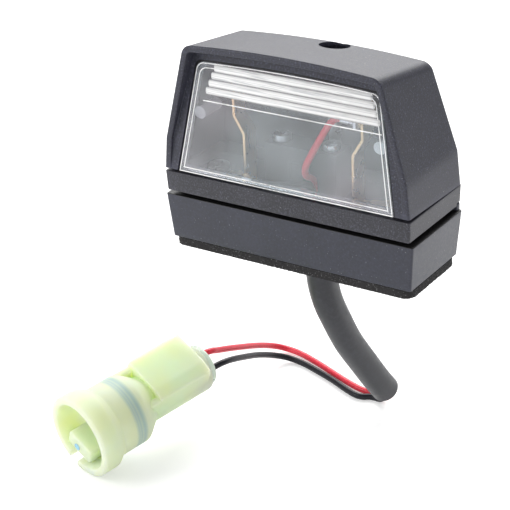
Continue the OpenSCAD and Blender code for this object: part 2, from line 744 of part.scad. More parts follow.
module lens() {
    color([0.85, 0.9, 0.92, 0.4]) {
        intersection() {
            front_prism(lens_outline(0, low_z), -far, far);
            face_slab(0, lens_t, lens_z0);
        }
        intersection() {
            difference() {
                front_prism(lens_outline(0, low_z), -far, far);
                front_prism(lens_outline(-border_w, lens_z0 + border_w), -far, far);
            }
            face_slab(lens_t - gap, lens_t + border_t, lens_z0);
        }
        for (i = [0 : rib_n - 1]) {
            z = lens_z1 - rib_room - rib_r - i * rib_pitch;
            taper = rib_step * (rib_n - 1 - i);
            x0 = rib_left + taper - lens_half(z, 0);
            x1 = lens_half(z, 0) - rib_right - taper;
            translate([x0, face_y(z, rib_sink), z]) rotate([0, 90, 0]) cylinder(h = x1 - x0, r = rib_r);
        }
        for (x = [-1, 1]) {
            y = face_y(tray_z1 + peg_z, lens_t - peg_sink);
            translate([x * peg_pitch / 2, y, tray_z1 + peg_z]) rotate([-90, 0, 0]) cylinder(h = peg_l, r = peg_r);
        }
    }
}

module lens_seal() {
    color([0.05, 0.05, 0.05]) intersection() {
        difference() {
            front_prism(lens_outline(lens_seal_w, low_z), -far, far);
            front_prism(lens_outline(0, low_z), -far, far);
        }
        face_slab(lens_seal_sink, lens_t, lens_z0);
    }
}

module hood() {
    color([0.28, 0.29, 0.31]) difference() {
        union() {
            difference() {
                hood_form(0);
                intersection() {
                    translate([0, 0, -gap]) hood_form(hood_wall);
                    face_slab(frame_t, far, 0);
                }
                intersection() {
                    front_prism(recess_outline(), -far, far);
                    face_slab(-far, 0, 0);
                }
                intersection() {
                    front_prism(lens_outline(lens_seal_w, low_z), -far, far);
                    face_slab(-1, frame_t + 1, 0);
                }
            }
            intersection() {
                hood_form(0);
                post(screw_x, screw_y, boss_z, far, tube_r);
            }
        }
        post(screw_x, screw_y, screw_seat_z, far, access_r);
        post(screw_x, screw_y, boss_z - 1, far, shank_r + shank_room);
    }
}

module cover_screw() {
    z = screw_seat_z + washer_t;
    color([0.75, 0.76, 0.78])
        screw_down(screw_x, screw_y, z, access_r - cover_head_room, cover_head_h, shank_r, z - cover_screw_z);
}

module cover_washer() {
    color([0.1, 0.1, 0.1]) difference() {
        post(screw_x, screw_y, screw_seat_z, screw_seat_z + washer_t, access_r - cover_head_room / 2);
        post(screw_x, screw_y, screw_seat_z - 1, screw_seat_z + washer_t + 1, shank_r + shank_room);
    }
}

module sleeve() {
    color([0.2, 0.21, 0.22]) tube(SLEEVE, sleeve_d / 2, sleeve_end_d / 2, 12, 2, [1, 0, 0]);
}

module red_wire() {
    color([0.85, 0.1, 0.15]) tube(RED, wire_d / 2, wire_d / 2, 8, 2, [0.3, 0, 1]);
}

module black_wire() {
    color([0.1, 0.1, 0.1]) tube(BLACK, wire_d / 2, wire_d / 2, 8, 2, [0.3, 0, 1]);
}

// Puts a piece of the plug where the plug lies.
module at_plug() {
    translate(plug_at) rotate(plug_turn) children();
}

// Round piece on the plug's axis: outline points are radius and distance from the back.
module turned(outline) {
    rotate([0, 90, 0]) rotate_extrude() polygon(outline);
}

// Cylinder along the plug, about the wire on one side.
module wire_post(side, x0, x1, r) {
    translate([x0, side * wire_pitch / 2, 0]) rotate([0, 90, 0]) cylinder(h = x1 - x0, r = r);
}

// Box along the plug, centred on y, from x0 to x1 and z0 to z1.
module plug_bar(x0, x1, y, w, z0, z1) {
    translate([x0, y - w / 2, z0]) cube([x1 - x0, w, z1 - z0]);
}

// Crimp and stepped blade of one pin, grown by a margin m.
module pin(side, m) {
    y = side * wire_pitch / 2;
    low = pin_z - blade_t / 2;
    plug_bar(pin_x0 - m, pin_x0 + crimp_l + m, y, crimp_w + 2 * m, -wire_d / 2 - m, wire_d / 2 + m);
    plug_bar(pin_x0, pin_step_x + blade_t + m, y, blade_w + 2 * m, -blade_t / 2 - m, blade_t / 2 + m);
    plug_bar(pin_step_x - m, pin_step_x + blade_t + m, y, blade_w + 2 * m, low - m, blade_t / 2 + m);
    plug_bar(pin_step_x - m, tongue_x1 - blade_end + m, y, blade_w + 2 * m, low - m, low + blade_t + m);
}

module plug_housing() {
    x = plug_mouth_x;
    r = mouth_r - mouth_taper;
    shell = [[0, retainer_l], [plug_tail_r - plug_edge, retainer_l], [plug_tail_r, retainer_l + plug_edge],
             [plug_tail_r, plug_cone_x0], [plug_r, plug_cone_x1], [plug_r, plug_l - rim_l - rim_slope_l],
             [plug_rim_r, plug_l - rim_l], [plug_rim_r, plug_l - plug_edge],
             [plug_rim_r - plug_edge, plug_l], [0, plug_l]];
    color([0.9, 0.95, 0.82]) at_plug() difference() {
        union() {
            difference() {
                union() {
                    turned(shell);
                    translate([plug_block_x0, 0, 0]) rotate([90, 0, 90])
                        linear_extrude(plug_block_x1 - plug_block_x0) polygon(plug_block);
                    for (q = [plug_block[0].x + cheek_w / 2, plug_block[1].x - cheek_w / 2])
                        plug_bar(plug_block_x1 - 1, plug_cone_x1 + 1, q, cheek_w, plug_block[0].y, cheek_z);
                }
                turned([[0, x], [r, x], [r, x + mouth_root_l], [mouth_r, plug_l - plug_edge],
                        [mouth_r + plug_edge, plug_l + gap], [0, plug_l + gap]]);
                plug_bar(plug_l - key_l, far, key_y, key_w, -far, 0);
            }
            plug_bar(x - 1, tongue_x1, tongue_y, tongue_w, tongue_z0, tongue_z1);
        }
        for (side = [-1, 1]) {
            wire_post(side, 0, pin_x0, wire_seal_r);
            pin(side, pin_room);
        }
        translate([lock_x, lock_y, lock_z]) rotate([0, 90, 0]) cylinder(h = lock_l + 1, r = lock_r + gap);
    }
}

// Soft double seal near the root of the mouth, round the tongue.
module plug_seal() {
    x = plug_mouth_x + plug_seal_x;
    r = mouth_r - mouth_taper;
    w = plug_seal_w;
    color([0.66, 0.78, 0.72]) at_plug() difference() {
        turned([[r - 1, x], [r - 0.2, x], [r, x + 0.3], [r, x + 0.7], [r - 0.4, x + w / 2],
                [r, x + w - 0.7], [r, x + w - 0.3], [r - 0.2, x + w], [r - 1, x + w]]);
        plug_bar(x - 1, x + far, tongue_y, tongue_w + 2 * gap, -far, tongue_z1 + gap);
    }
}

// Clear plate that shuts the plug's back, with a hole for each wire.
module plug_retainer() {
    r = plug_tail_r - retainer_step;
    color([0.9, 0.92, 0.92]) at_plug() difference() {
        turned([[0, 0], [r - retainer_edge, 0], [r, retainer_edge], [r, retainer_l], [0, retainer_l]]);
        for (side = [-1, 1]) wire_post(side, -1, retainer_l + 1, wire_d / 2 + pin_room);
    }
}

module plug_pins() {
    color([0.8, 0.8, 0.82]) at_plug() for (side = [-1, 1]) pin(side, 0);
}

module wire_seals() {
    color([0.35, 0.6, 0.85]) at_plug() for (side = [-1, 1]) difference() {
        wire_post(side, retainer_l, retainer_l + wire_seal_l, wire_seal_r);
        wire_post(side, 0, retainer_l + wire_seal_l + 1, wire_d / 2 + gap);
    }
}

module plug_lock() {
    color([0.5, 0.78, 0.95]) at_plug() translate([lock_x, lock_y, lock_z]) rotate([0, 90, 0])
        cylinder(h = lock_l, r = lock_r);
}

foam_pad();
plinth();
threaded_inserts();
grommet();
base_seal();
tray();
tray_screws();
lead_block();
block_screws();
contact_left();
contact_right();
contact_rivets();
terminal_left();
terminal_right();
bulb_glass();
bulb_cap_left();
bulb_cap_right();
bulb_filament();
inner_red_wire();
inner_black_wire();
lens();
lens_seal();
hood();
cover_screw();
cover_washer();
sleeve();
red_wire();
black_wire();
plug_housing();
plug_seal();
plug_retainer();
plug_pins();
wire_seals();
plug_lock();
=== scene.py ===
# %% [markdown]
# # A number plate lamp with its lead
# This lesson dresses a small car lamp: a dark moulded hood over a clear ribbed lens, a tray, a plinth
# on a foam pad, and a lead that ends in a milky plug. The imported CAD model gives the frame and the
# meshes of the small parts, so the first cell loads it. The large pieces get meshes of their own.

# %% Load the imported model
import math

import bmesh
import bpy
import numpy as np
from mathutils import Matrix, Vector


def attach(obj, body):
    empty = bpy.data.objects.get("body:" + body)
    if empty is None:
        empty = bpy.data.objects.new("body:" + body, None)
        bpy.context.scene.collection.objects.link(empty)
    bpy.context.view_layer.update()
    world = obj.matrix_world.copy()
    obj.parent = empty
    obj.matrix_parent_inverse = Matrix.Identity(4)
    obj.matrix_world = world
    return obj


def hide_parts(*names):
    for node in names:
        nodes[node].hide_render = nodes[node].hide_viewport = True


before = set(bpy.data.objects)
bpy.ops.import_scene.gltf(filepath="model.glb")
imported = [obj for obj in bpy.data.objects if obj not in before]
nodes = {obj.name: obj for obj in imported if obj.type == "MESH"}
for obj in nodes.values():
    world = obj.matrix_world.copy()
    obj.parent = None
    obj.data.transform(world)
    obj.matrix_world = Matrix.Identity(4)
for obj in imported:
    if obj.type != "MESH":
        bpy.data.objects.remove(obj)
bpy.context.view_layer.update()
MM = 0.001
print("CAD nodes:", len(nodes))

# %% [markdown]
# ## Sizes of the lamp
# The lamp is a stack of pad, plinth, groove, tray and hood. Its sizes are the driving values of the
# part's source, in millimetres, and the heights add up from the pad's underside, so that each size is
# written once. Widths and depths come in pairs, because every moulding has draft: its lower edge
# first, then its upper edge.

# %% Sizes of the lamp
PAD_T, PLINTH_H, GROOVE_H, TRAY_H, BEND_H, HOOD_H = 2.2, 11.2, 1.1, 5.0, 8.2, 32.8
PLINTH_Z1 = PAD_T + PLINTH_H
TRAY_Z0 = PLINTH_Z1 + GROOVE_H
TRAY_TOP = TRAY_Z0 + TRAY_H
BEND_Z = TRAY_TOP + BEND_H
ROOF_Z = TRAY_TOP + HOOD_H
PLINTH_W0, PLINTH_W1, PLINTH_D0, PLINTH_D1 = 63.9, 65.8, 22.4, 23.8
TRAY_W0, TRAY_W1, TRAY_D0, TRAY_D1 = 64.4, 64.8, 24.4, 24.8
FRONT_Y, BACK_Y = -TRAY_D1 / 2, TRAY_D1 / 2
print("height of the lamp:", round(ROOF_Z, 1))

# %% [markdown]
# ## Camera, floor and light
# The lamp was photographed from its front right, a little from above, with a long lens. The camera is
# placed by its two angles and its distance, which keeps the three numbers easy to change. The lamp is
# held up and its lead hangs to a pale table, so the floor lies where the lead's lowest wire lies.

# %% Place the camera
AZIMUTH = math.radians(33.85)
ELEVATION = math.radians(25.57)
ROLL = math.radians(-2.48)
DISTANCE = 432.58
TARGET = Vector((-16.412, 0.0, -4.235))
FOCAL_PIXELS = 1800
FRAME_PIXELS = 510
SENSOR = 36.0


def camera_matrix():
    """The camera looks back along its direction from the target, then turns by the roll."""
    back = Vector((math.sin(AZIMUTH) * math.cos(ELEVATION),
                   -math.cos(AZIMUTH) * math.cos(ELEVATION),
                   math.sin(ELEVATION)))
    level = Vector((math.cos(AZIMUTH), math.sin(AZIMUTH), 0.0))
    rise = back.cross(level)
    right = level * math.cos(ROLL) + rise * math.sin(ROLL)
    up = rise * math.cos(ROLL) - level * math.sin(ROLL)
    matrix = Matrix((right, up, back)).transposed().to_4x4()
    matrix.translation = (TARGET + back * DISTANCE) * MM
    return matrix


camera = bpy.data.objects.new("camera", bpy.data.cameras.new("camera"))
camera.data.sensor_width = SENSOR
camera.data.lens = FOCAL_PIXELS / FRAME_PIXELS * SENSOR
camera.data.clip_start = 0.01
camera.matrix_world = camera_matrix()
bpy.context.scene.collection.objects.link(camera)
bpy.context.scene.camera = camera
print("camera lens:", round(camera.data.lens, 2))

# %% [markdown]
# ## Lead routes
# A lead is a curve with a fixed length. The routes below are the same points as in the part's source:
# the thick sleeve leaves the grommet, bends back and ends near the table, and the two thin wires run
# round the table to the plug. A Catmull-Rom curve goes through every point, which keeps the route true
# to the points and smooth between them.

# %% Lead routes
SLEEVE = [[2, 0, 5], [2, 0, 2], [2, 0, -1], [2.2, 0, -4], [2.5, 0.3, -8], [3.2, 1.2, -12.7],
          [4.1, 3.2, -18], [5.1, 6.8, -25.4], [6.3, 12, -33.4], [7.1, 16.6, -40], [7.55, 20.56, -44.95]]
RED = [[7.55, 21.4, -44.4], [6.8, 22.4, -46.4], [5.2, 23.6, -48.4], [2.8, 24.3, -49.5],
       [-1.3, 24.3, -49.6], [-6.6, 25.9, -49.6], [-12.7, 28.4, -49.6], [-18.7, 30.9, -49.6],
       [-25.5, 33.1, -49.5], [-30.4, 33, -49.1], [-32.3, 29.6, -47.3], [-32.2, 22.9, -44],
       [-31.5, 15.2, -40.5], [-30.8, 7.9, -37.3], [-30.5, 1.9, -34.9], [-30.4, -0.4, -33.9],
       [-31.06, -2.63, -33.68], [-31.75, -5.02, -33.99], [-31.97, -5.78, -34.09]]
BLACK = [[7.55, 19.9, -45.6], [6.9, 20.9, -47.5], [5.4, 21.9, -49.2], [3.4, 22.4, -49.6],
         [1.8, 22.1, -49.6], [0.4, 21.3, -49.6], [-1.8, 21.3, -49.6], [-5.5, 22.7, -49.6],
         [-10.6, 25, -49.6], [-16.5, 27.2, -49.6], [-22.2, 29, -49.6], [-26.6, 28.7, -49],
         [-28.5, 24.3, -46.6], [-28.2, 16.7, -42.8], [-26.9, 8.3, -39], [-26.1, 1.9, -36.4],
         [-26.1, -1.4, -35.5], [-26.76, -3.64, -35.54], [-27.45, -6.02, -35.85], [-27.67, -6.78, -35.95]]
INNER_RED = [[2.9, 0, 5.1], [2.9, 0, 12], [2.9, -0.4, 17], [2.6, -2.4, 20.4], [2.4, -5.2, 22.4],
             [3.2, -6.4, 25.4], [6.2, -6.4, 31], [9.2, -6.4, 36], [10.8, -6.3, 37.8], [12.4, -6.2, 38.4],
             [13.9, -6.2, 38.4]]
INNER_BLACK = [[1.1, 0, 5.1], [1.1, 0, 12], [1.1, -0.4, 16.6], [0.4, -2.4, 18.6], [-1.4, -5.2, 19.4],
               [-5, -6.4, 19.2], [-8.2, -6.1, 18.8], [-10, -6, 18.6], [-11.2, -6, 18.6],
               [-12.6, -6, 18.6]]
SLEEVE_R = 3.8
SLEEVE_END_R = 3.5
WIRE_R = 0.8


def smooth_route(points, steps=6):
    """Catmull-Rom curve: between b and c it is half of
    2b + (c - a)t + (2a - 5b + 4c - d)t^2 + (3b - a - 3c + d)t^3, with a and d the outer neighbours."""
    p = np.array(points, float)
    q = np.vstack([p[:1], p, p[-1:]])
    a, b, c, d = (q[i:i + len(p) - 1, None] for i in range(4))
    t = np.linspace(0, 1, steps, endpoint=False)[None, :, None]
    curve = 0.5 * (2 * b + (c - a) * t + (2 * a - 5 * b + 4 * c - d) * t ** 2
                   + (3 * b - a - 3 * c + d) * t ** 3)
    return np.vstack([curve.reshape(-1, 3), p[-1:]])


def route_length(path):
    """Sum of the straight distances between neighbouring points."""
    return float(np.linalg.norm(np.diff(path, axis=0), axis=1).sum())


sleeve_path = smooth_route(SLEEVE)
red_path = smooth_route(RED)
black_path = smooth_route(BLACK)
print("lengths in mm:", [round(route_length(p), 1) for p in (sleeve_path, red_path, black_path)])

# %% [markdown]
# ## Meshes from arrays
# Every shape below is a grid of points, worked out as one array. A grid becomes quads, a row that
# shrinks to one point closes an end, and doubles are merged so that the shell is closed. Faces are
# then turned outwards, and only edges sharper than an angle stay sharp in the shading.

# %% Grids and meshes
def grid_quads(rows, cols, loop):
    """Quads between neighbouring points of a grid; with loop the last column joins the first."""
    i = np.arange(rows - 1)[:, None]
    j = np.arange(cols if loop else cols - 1)[None, :]
    k = (j + 1) % cols
    quads = np.stack([i * cols + j, i * cols + k, (i + 1) * cols + k, (i + 1) * cols + j], -1)
    return quads.reshape(-1, 4)


def shell(points, loop=True):
    """Points of a grid (rows, columns, 3) in millimetres, with its quads."""
    rows, cols = points.shape[:2]
    return points.reshape(-1, 3), grid_quads(rows, cols, loop)


MERGE, THINNEST = 2e-6, 1e-7


def build_mesh(name, shells, sharp=30.0, fill_holes=False):
    """Joins shells into one mesh in metres, merges points closer than MERGE, drops what is thinner
    than THINNEST, closes holes if asked and turns faces outwards."""
    points = []
    faces = []
    count = 0
    for co, quads in shells:
        points.append(co)
        faces.extend((quads + count).tolist())
        count += len(co)
    mesh = bpy.data.meshes.new(name)
    mesh.from_pydata((np.vstack(points) * MM).tolist(), [], faces)
    bm = bmesh.new()
    bm.from_mesh(mesh)
    bmesh.ops.remove_doubles(bm, verts=bm.verts, dist=MERGE)
    bmesh.ops.dissolve_degenerate(bm, dist=THINNEST, edges=bm.edges)
    if fill_holes:
        rim = [e for e in bm.edges if e.is_boundary]
        bmesh.ops.triangle_fill(bm, edges=rim, use_beauty=True)
    bmesh.ops.recalc_face_normals(bm, faces=bm.faces)
    bm.to_mesh(mesh)
    bm.free()
    mesh.shade_smooth()
    mesh.set_sharp_from_angle(angle=math.radians(sharp))
    return mesh


print("quads of a looped 3 by 4 grid:", len(grid_quads(3, 4, True)))


# %% Pieces
def add_piece(name, mesh, material, slot, replaced=()):
    """Adds a mesh as a piece that rides on the lamp, with one material, and stands for CAD nodes. Its slot is
    not used.
    """
    piece = bpy.data.objects.new(name, mesh)
    bpy.context.scene.collection.objects.link(piece)
    mesh.materials.clear()
    mesh.materials.append(material)
    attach(piece, "root")
    if replaced:
        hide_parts(*replaced)
    print(name, len(mesh.vertices), "points")
    return piece


print("pieces ride on the root body")


# %% Tubes along a path
def sweep(path, stations, side, sides):
    """Round tube along a path. Each station is a distance along the path and a radius there. A ring is
    centre + radius * (cos a * u + sin a * v), with u and v square to the path's direction."""
    steps = np.linalg.norm(np.diff(path, axis=0), axis=1)
    travelled = np.concatenate([[0.0], np.cumsum(steps)])
    tangents = np.gradient(path, travelled, axis=0)
    at = np.array(stations, float)
    centre = np.stack([np.interp(at[:, 0], travelled, path[:, i]) for i in range(3)], -1)
    t = np.stack([np.interp(at[:, 0], travelled, tangents[:, i]) for i in range(3)], -1)
    t /= np.linalg.norm(t, axis=1, keepdims=True)
    u = np.cross(t, np.array(side, float))
    u /= np.linalg.norm(u, axis=1, keepdims=True)
    v = np.cross(t, u)
    a = np.linspace(0, 2 * np.pi, sides, endpoint=False)[None, :, None]
    ring = np.cos(a) * u[:, None] + np.sin(a) * v[:, None]
    return shell(centre[:, None] + at[:, 1, None, None] * ring)


print("points of a ring on a straight path:", len(sweep(np.eye(3)[:2], [[0.5, 1.0]], (0, 0, 1), 8)[0]))


# %% Lathes and round edges
def lathe(profile, sides):
    """Profile of distance along X and radius, carried round the X axis."""
    p = np.array(profile, float)
    a = np.linspace(0, 2 * np.pi, sides, endpoint=False)[None, :]
    x = np.broadcast_to(p[:, 0, None], (len(p), sides))
    return np.stack([x, p[:, 1, None] * np.cos(a), p[:, 1, None] * np.sin(a)], -1)


def rod(x0, x1, r, sides):
    """Closed cylinder of radius r about the X axis, from x0 to x1."""
    return lathe([[x0, 0], [x0, r], [x1, r], [x1, 0]], sides)


def upright(points, x, y):
    """Shell of a lathe about X set upright: its X becomes Z, about the point x, y."""
    return shell(np.stack([points[..., 1] + x, points[..., 2] + y, points[..., 0]], -1))


def fillet(c, r, a0, a1, n):
    """Points on an arc of radius r about c, from angle a0 to a1 in degrees."""
    a = np.radians(np.linspace(a0, a1, n))
    return [[c[0] + r * math.cos(t), c[1] + r * math.sin(t)] for t in a]


def quarter(start, end, count):
    """Pairs of 1 - sin a and 1 - cos a for angles a from start to end in degrees. Times the radius of
    a quarter-round edge they are its distances from the flat face and from the wall."""
    angles = [math.radians(a) for a in np.linspace(start, end, count)]
    return [(1 - math.sin(a), 1 - math.cos(a)) for a in angles]


print("a quarter-round edge in three steps:", np.round(quarter(90, 0, 3), 2).tolist())


# %% [markdown]
# ## Materials
# Moulded plastic is never one flat colour: the tool leaves a fine spark-eroded grain, the gloss wanders
# a little, and edges that hands and boxes rub turn lighter. Light and shade are painted in as well: the
# grain's tops are painted lighter as a highlight and its pits darker as shade, light specks are painted
# glints on the plastics, the lighter edges are partly a painted glint, and a band can be painted black
# as shade. One helper builds that from two noises, a bump and the mesh's own pointiness, and each piece
# gives it its own colours and grain. All patterns read Object coordinates in metres, so they stay on the
# piece in every view.

# %% Node helpers
def feed(material, value, socket):
    """Feeds an input socket: an output is linked, and a colour or a number is set."""
    if isinstance(value, bpy.types.NodeSocket):
        material.node_tree.links.new(value, socket)
    elif socket.type == "RGBA":
        socket.default_value = (*value, 1.0)
    else:
        socket.default_value = value


def new_material(name, colour, values):
    """A material whose one Principled shader gets a colour and plain values on its own sockets."""
    material = bpy.data.materials.new(name)
    material.use_nodes = True
    shader = material.node_tree.nodes["Principled BSDF"]
    for socket, value in {"Base Color": colour, **values}.items():
        feed(material, value, shader.inputs[socket])
    return material, shader


def add_node(material, kind, values=None, **settings):
    """Adds a node with its settings, and feeds its sockets."""
    node = material.node_tree.nodes.new(kind)
    for key, value in settings.items():
        setattr(node, key, value)
    for socket, value in (values or {}).items():
        feed(material, value, node.inputs[socket])
    return node


def maths(material, operation, *values):
    """Output of a Math node whose inputs are outputs or numbers."""
    return add_node(material, "ShaderNodeMath", dict(enumerate(values)), operation=operation).outputs["Value"]


def object_place(material):
    """Object coordinates in metres."""
    return add_node(material, "ShaderNodeTexCoord").outputs["Object"]


def along_axis(material, axis, place=None):
    """One coordinate of a place, which is the Object coordinates if none is given."""
    if place is None:
        place = object_place(material)
    return add_node(material, "ShaderNodeSeparateXYZ", {"Vector": place}).outputs[axis]


def turned_place(material, **values):
    """Object coordinates as seen from a frame that is moved, turned and scaled."""
    mapping = add_node(material, "ShaderNodeMapping", {"Vector": object_place(material), **values},
                       vector_type="TEXTURE")
    return mapping.outputs["Vector"]


print("node helpers ready")


# %% Pattern helpers
def noise(material, grain, detail, place=None):
    """Noise whose features are grain millimetres wide, on Object coordinates if no place is given."""
    if place is None:
        place = object_place(material)
    node = add_node(material, "ShaderNodeTexNoise", {
        "Vector": place, "Scale": 1.0 / (grain * MM), "Detail": detail, "Roughness": 0.55})
    return node.outputs["Fac"]


def spread(material, value, low, high, start=0.3, end=0.7, clamp=True):
    """Maps start..end, by default a noise's middle range, to low..high."""
    node = add_node(material, "ShaderNodeMapRange", {
        "Value": value, "From Min": start, "From Max": end, "To Min": low, "To Max": high}, clamp=clamp)
    return node.outputs["Result"]


def blend_colour(material, factor, first, second):
    """Mixes two colours or outputs by a factor output."""
    node = add_node(material, "ShaderNodeMix", {"Factor": factor, "A": first, "B": second}, data_type="RGBA")
    return node.outputs["Result"]


def ramp_of(material, factor, stops):
    """A grey level that follows a list of (place, level) stops along a factor output."""
    ramp = add_node(material, "ShaderNodeValToRGB", {"Fac": factor})
    elements = ramp.color_ramp.elements
    while len(elements) < len(stops):
        elements.new(0.5)
    for element, (place, level) in zip(elements, stops):
        element.position = place
        element.color = (level, level, level, 1.0)
    return ramp.outputs["Color"]


def shade(colour, factor):
    """A colour made lighter or darker by a factor."""
    return tuple(min(1.0, c * factor) for c in colour)


def height_band(material, low, high, soft=0.08):
    """1 where the piece's height is between low and high millimetres, and 0 elsewhere."""
    height = along_axis(material, "Z")
    rise = spread(material, height, 0.0, 1.0, (low - soft) * MM, low * MM)
    fall = spread(material, height, 1.0, 0.0, high * MM, (high + soft) * MM)
    return maths(material, "MULTIPLY", rise, fall)


def emboss(material, shader, height, relief, strength=1.0):
    """Lays a relief of so many millimetres on the surface, from a height output."""
    bump = add_node(material, "ShaderNodeBump", {
        "Height": height, "Distance": relief * MM, "Strength": strength})
    feed(material, bump.outputs["Normal"], shader.inputs["Normal"])


print("pattern helpers ready")


# %% Moulded plastic and bare metal
# Grey of the light specks: painted glints on the plastics, light flecks on the foam.
GLINT_FLECK_GREY = (0.45, 0.45, 0.47)
# Black painted as shade in the groove under the tray, on the plinth's top edge.
GROOVE_SHADE_BLACK = (0.004, 0.004, 0.004)


def moulded(name, colour, roughness, grain, relief, vary=0.12, wear_and_glint=0.0, glints_and_flecks=0.0, groove_shade=None,
            glint_fleck_from=0.79, smooth_from=None, grain_highlight=1.8, **values):
    """Plastic or rubber. Its colour drifts by vary and its roughness by about a tenth. Its grain is
    grain mm wide and relief mm deep; its pits are painted darker as shade and its tops lighter as a
    painted highlight, by the factor given for the tops. Edges are painted lighter by a given share,
    partly as rubbed wear and partly as a painted glint; sparse light dots above a given level of a
    noise are painted glints on plastic and light flecks on foam; a band between two given heights is
    painted black as shade in the groove under the tray; and there is no grain above the height smooth_from."""
    material, shader = new_material(name, colour, values)
    drift = noise(material, 7.0, 2.0)
    fine = noise(material, grain, 4.0)
    if smooth_from:
        calm = add_node(material, "ShaderNodeMix", {
            "Factor": height_band(material, smooth_from, ROOF_Z), "A": fine, "B": 0.5}, data_type="FLOAT")
        fine = calm.outputs["Result"]
    tint = blend_colour(material, spread(material, drift, 0.0, 1.0),
                        shade(colour, 1 - vary), shade(colour, 1 + vary))
    # Grain tops painted lighter as a highlight; the next line paints the pits darker as shade.
    tint = blend_colour(material, spread(material, fine, 0.0, 0.5, 0.5, 0.7), tint, shade(colour, grain_highlight))
    tint = blend_colour(material, spread(material, fine, 0.5, 0.0, 0.25, 0.5), tint, shade(colour, 0.5))
    # Light specks: painted glints on the plastics, light flecks on the foam.
    if glints_and_flecks:
        dots = spread(material, noise(material, 0.3, 0.0), 0.0, glints_and_flecks, glint_fleck_from, glint_fleck_from + 0.07)
        tint = blend_colour(material, dots, tint, GLINT_FLECK_GREY)
    # Lighter edges: partly rubbed wear, partly a painted glint.
    if wear_and_glint:
        edges = add_node(material, "ShaderNodeNewGeometry").outputs["Pointiness"]
        tint = blend_colour(material, spread(material, edges, 0.0, wear_and_glint, 0.52, 0.6), tint, shade(colour, 2.6))
    # A band painted black as shade in the groove under the tray.
    if groove_shade:
        tint = blend_colour(material, height_band(material, *groove_shade), tint, GROOVE_SHADE_BLACK)
    feed(material, tint, shader.inputs["Base Color"])
    feed(material, spread(material, fine, roughness - 0.08, roughness + 0.1), shader.inputs["Roughness"])
    emboss(material, shader, fine, relief)
    return material


def metal(name, colour, roughness):
    """Bare metal: a tint and a roughness that drift, and a faint relief."""
    material, shader = new_material(name, colour, {"Metallic": 1.0})
    drift = noise(material, 2.5, 3.0)
    fine = noise(material, 0.5, 4.0)
    tint = blend_colour(material, spread(material, drift, 0.0, 1.0), shade(colour, 0.85), colour)
    feed(material, tint, shader.inputs["Base Color"])
    feed(material, spread(material, drift, roughness - 0.1, roughness + 0.15), shader.inputs["Roughness"])
    emboss(material, shader, fine, 0.003, 0.6)
    return material


print("moulded and metal finishes can be made")


# %% Opaque finishes
# The grain tops of these finishes are painted lighter as a highlight and their pits darker as shade.
hood_grey = moulded("hood_grey", (0.027, 0.028, 0.042), 0.5, 0.4, 0.05, 0.1, 0.4, 0.4, grain_highlight=4.0)
tray_grey = moulded("tray_grey", (0.026, 0.026, 0.034), 0.5, 0.4, 0.05, 0.2, 0.3, 0.6,
                    smooth_from=TRAY_TOP - 0.05, grain_highlight=5.0)
# The plinth's top edge gets a band painted black as shade under the tray.
plinth_grey = moulded("plinth_grey", (0.029, 0.031, 0.046), 0.46, 0.6, 0.012, 0.1, 0.4, 0.3,
                      (PLINTH_Z1 - 0.08, PLINTH_Z1 + 0.05))
foam_black = moulded("foam_black", (0.018, 0.017, 0.018), 0.92, 0.5, 0.2, 0.3, 0.0, 0.22,
                     glint_fleck_from=0.69)
seal_black = moulded("seal_black", (0.008, 0.008, 0.009), 0.6, 0.4, 0.02)
sleeve_grey = moulded("sleeve_grey", (0.024, 0.025, 0.031), 0.42, 1.1, 0.02, 0.1)
red_vinyl = moulded("red_vinyl", (0.86, 0.03, 0.06), 0.36, 0.5, 0.01, 0.06)
black_vinyl = moulded("black_vinyl", (0.008, 0.008, 0.013), 0.38, 0.5, 0.008,
                      **{"Specular IOR Level": 0.28})
block_black = moulded("block_black", (0.03, 0.03, 0.033), 0.5, 1.4, 0.006)
brass = metal("brass", (0.86, 0.6, 0.32), 0.3)
insert_brass = metal("insert_brass", (0.8, 0.62, 0.3), 0.35)
tinned = metal("tinned", (0.78, 0.78, 0.8), 0.28)
screw_steel = metal("screw_steel", (0.7, 0.7, 0.72), 0.3)
lock_blue = moulded("lock_blue", (0.3, 0.62, 0.88), 0.4, 0.4, 0.01)
wire_seal_blue = moulded("wire_seal_blue", (0.08, 0.25, 0.5), 0.45, 0.4, 0.01)
print("opaque finishes ready")

# %% [markdown]
# ## Clear finishes
# The lens is clear plastic with a little haze: one Principled shader with its transmission just under
# one leaves that veil, and its roughness drifts slightly. Its border is the same plastic with less haze.
# The pegs and the moulding lines bend light so strongly that they look whiter, so they have more. The
# prism ribs throw light back. Traced as pure glass they would show black and white noise, so that light
# is painted on them: they are mostly white as a painted reflection, and a ramp across each rib paints the
# lines that the real prisms show, with dark shade at its edges.

# %% Clear finishes
WHITE = (1.0, 1.0, 1.0)
ACRYLIC_IOR = 1.49


def clear(name, colour, haze, roughness, relief=0.0, second=None):
    """Clear plastic: haze is the share of light that scatters at the surface, and it drifts by a
    third. A second colour drifts in as a wide patch."""
    material, shader = new_material(name, colour, {"IOR": ACRYLIC_IOR})
    veil = noise(material, 11.0, 1.0)
    feed(material, spread(material, veil, 1.0 - haze * 1.35, 1.0 - haze * 0.65, 0.35, 0.65),
         shader.inputs["Transmission Weight"])
    if second:
        patch = spread(material, noise(material, 23.0, 0.0), 0.0, 1.0, 0.4, 0.6)
        feed(material, blend_colour(material, patch, colour, second), shader.inputs["Base Color"])
    drift = noise(material, 4.0, 3.0)
    feed(material, spread(material, drift, roughness * 0.6, roughness * 1.5), shader.inputs["Roughness"])
    if relief:
        emboss(material, shader, drift, relief, 0.5)
    return material


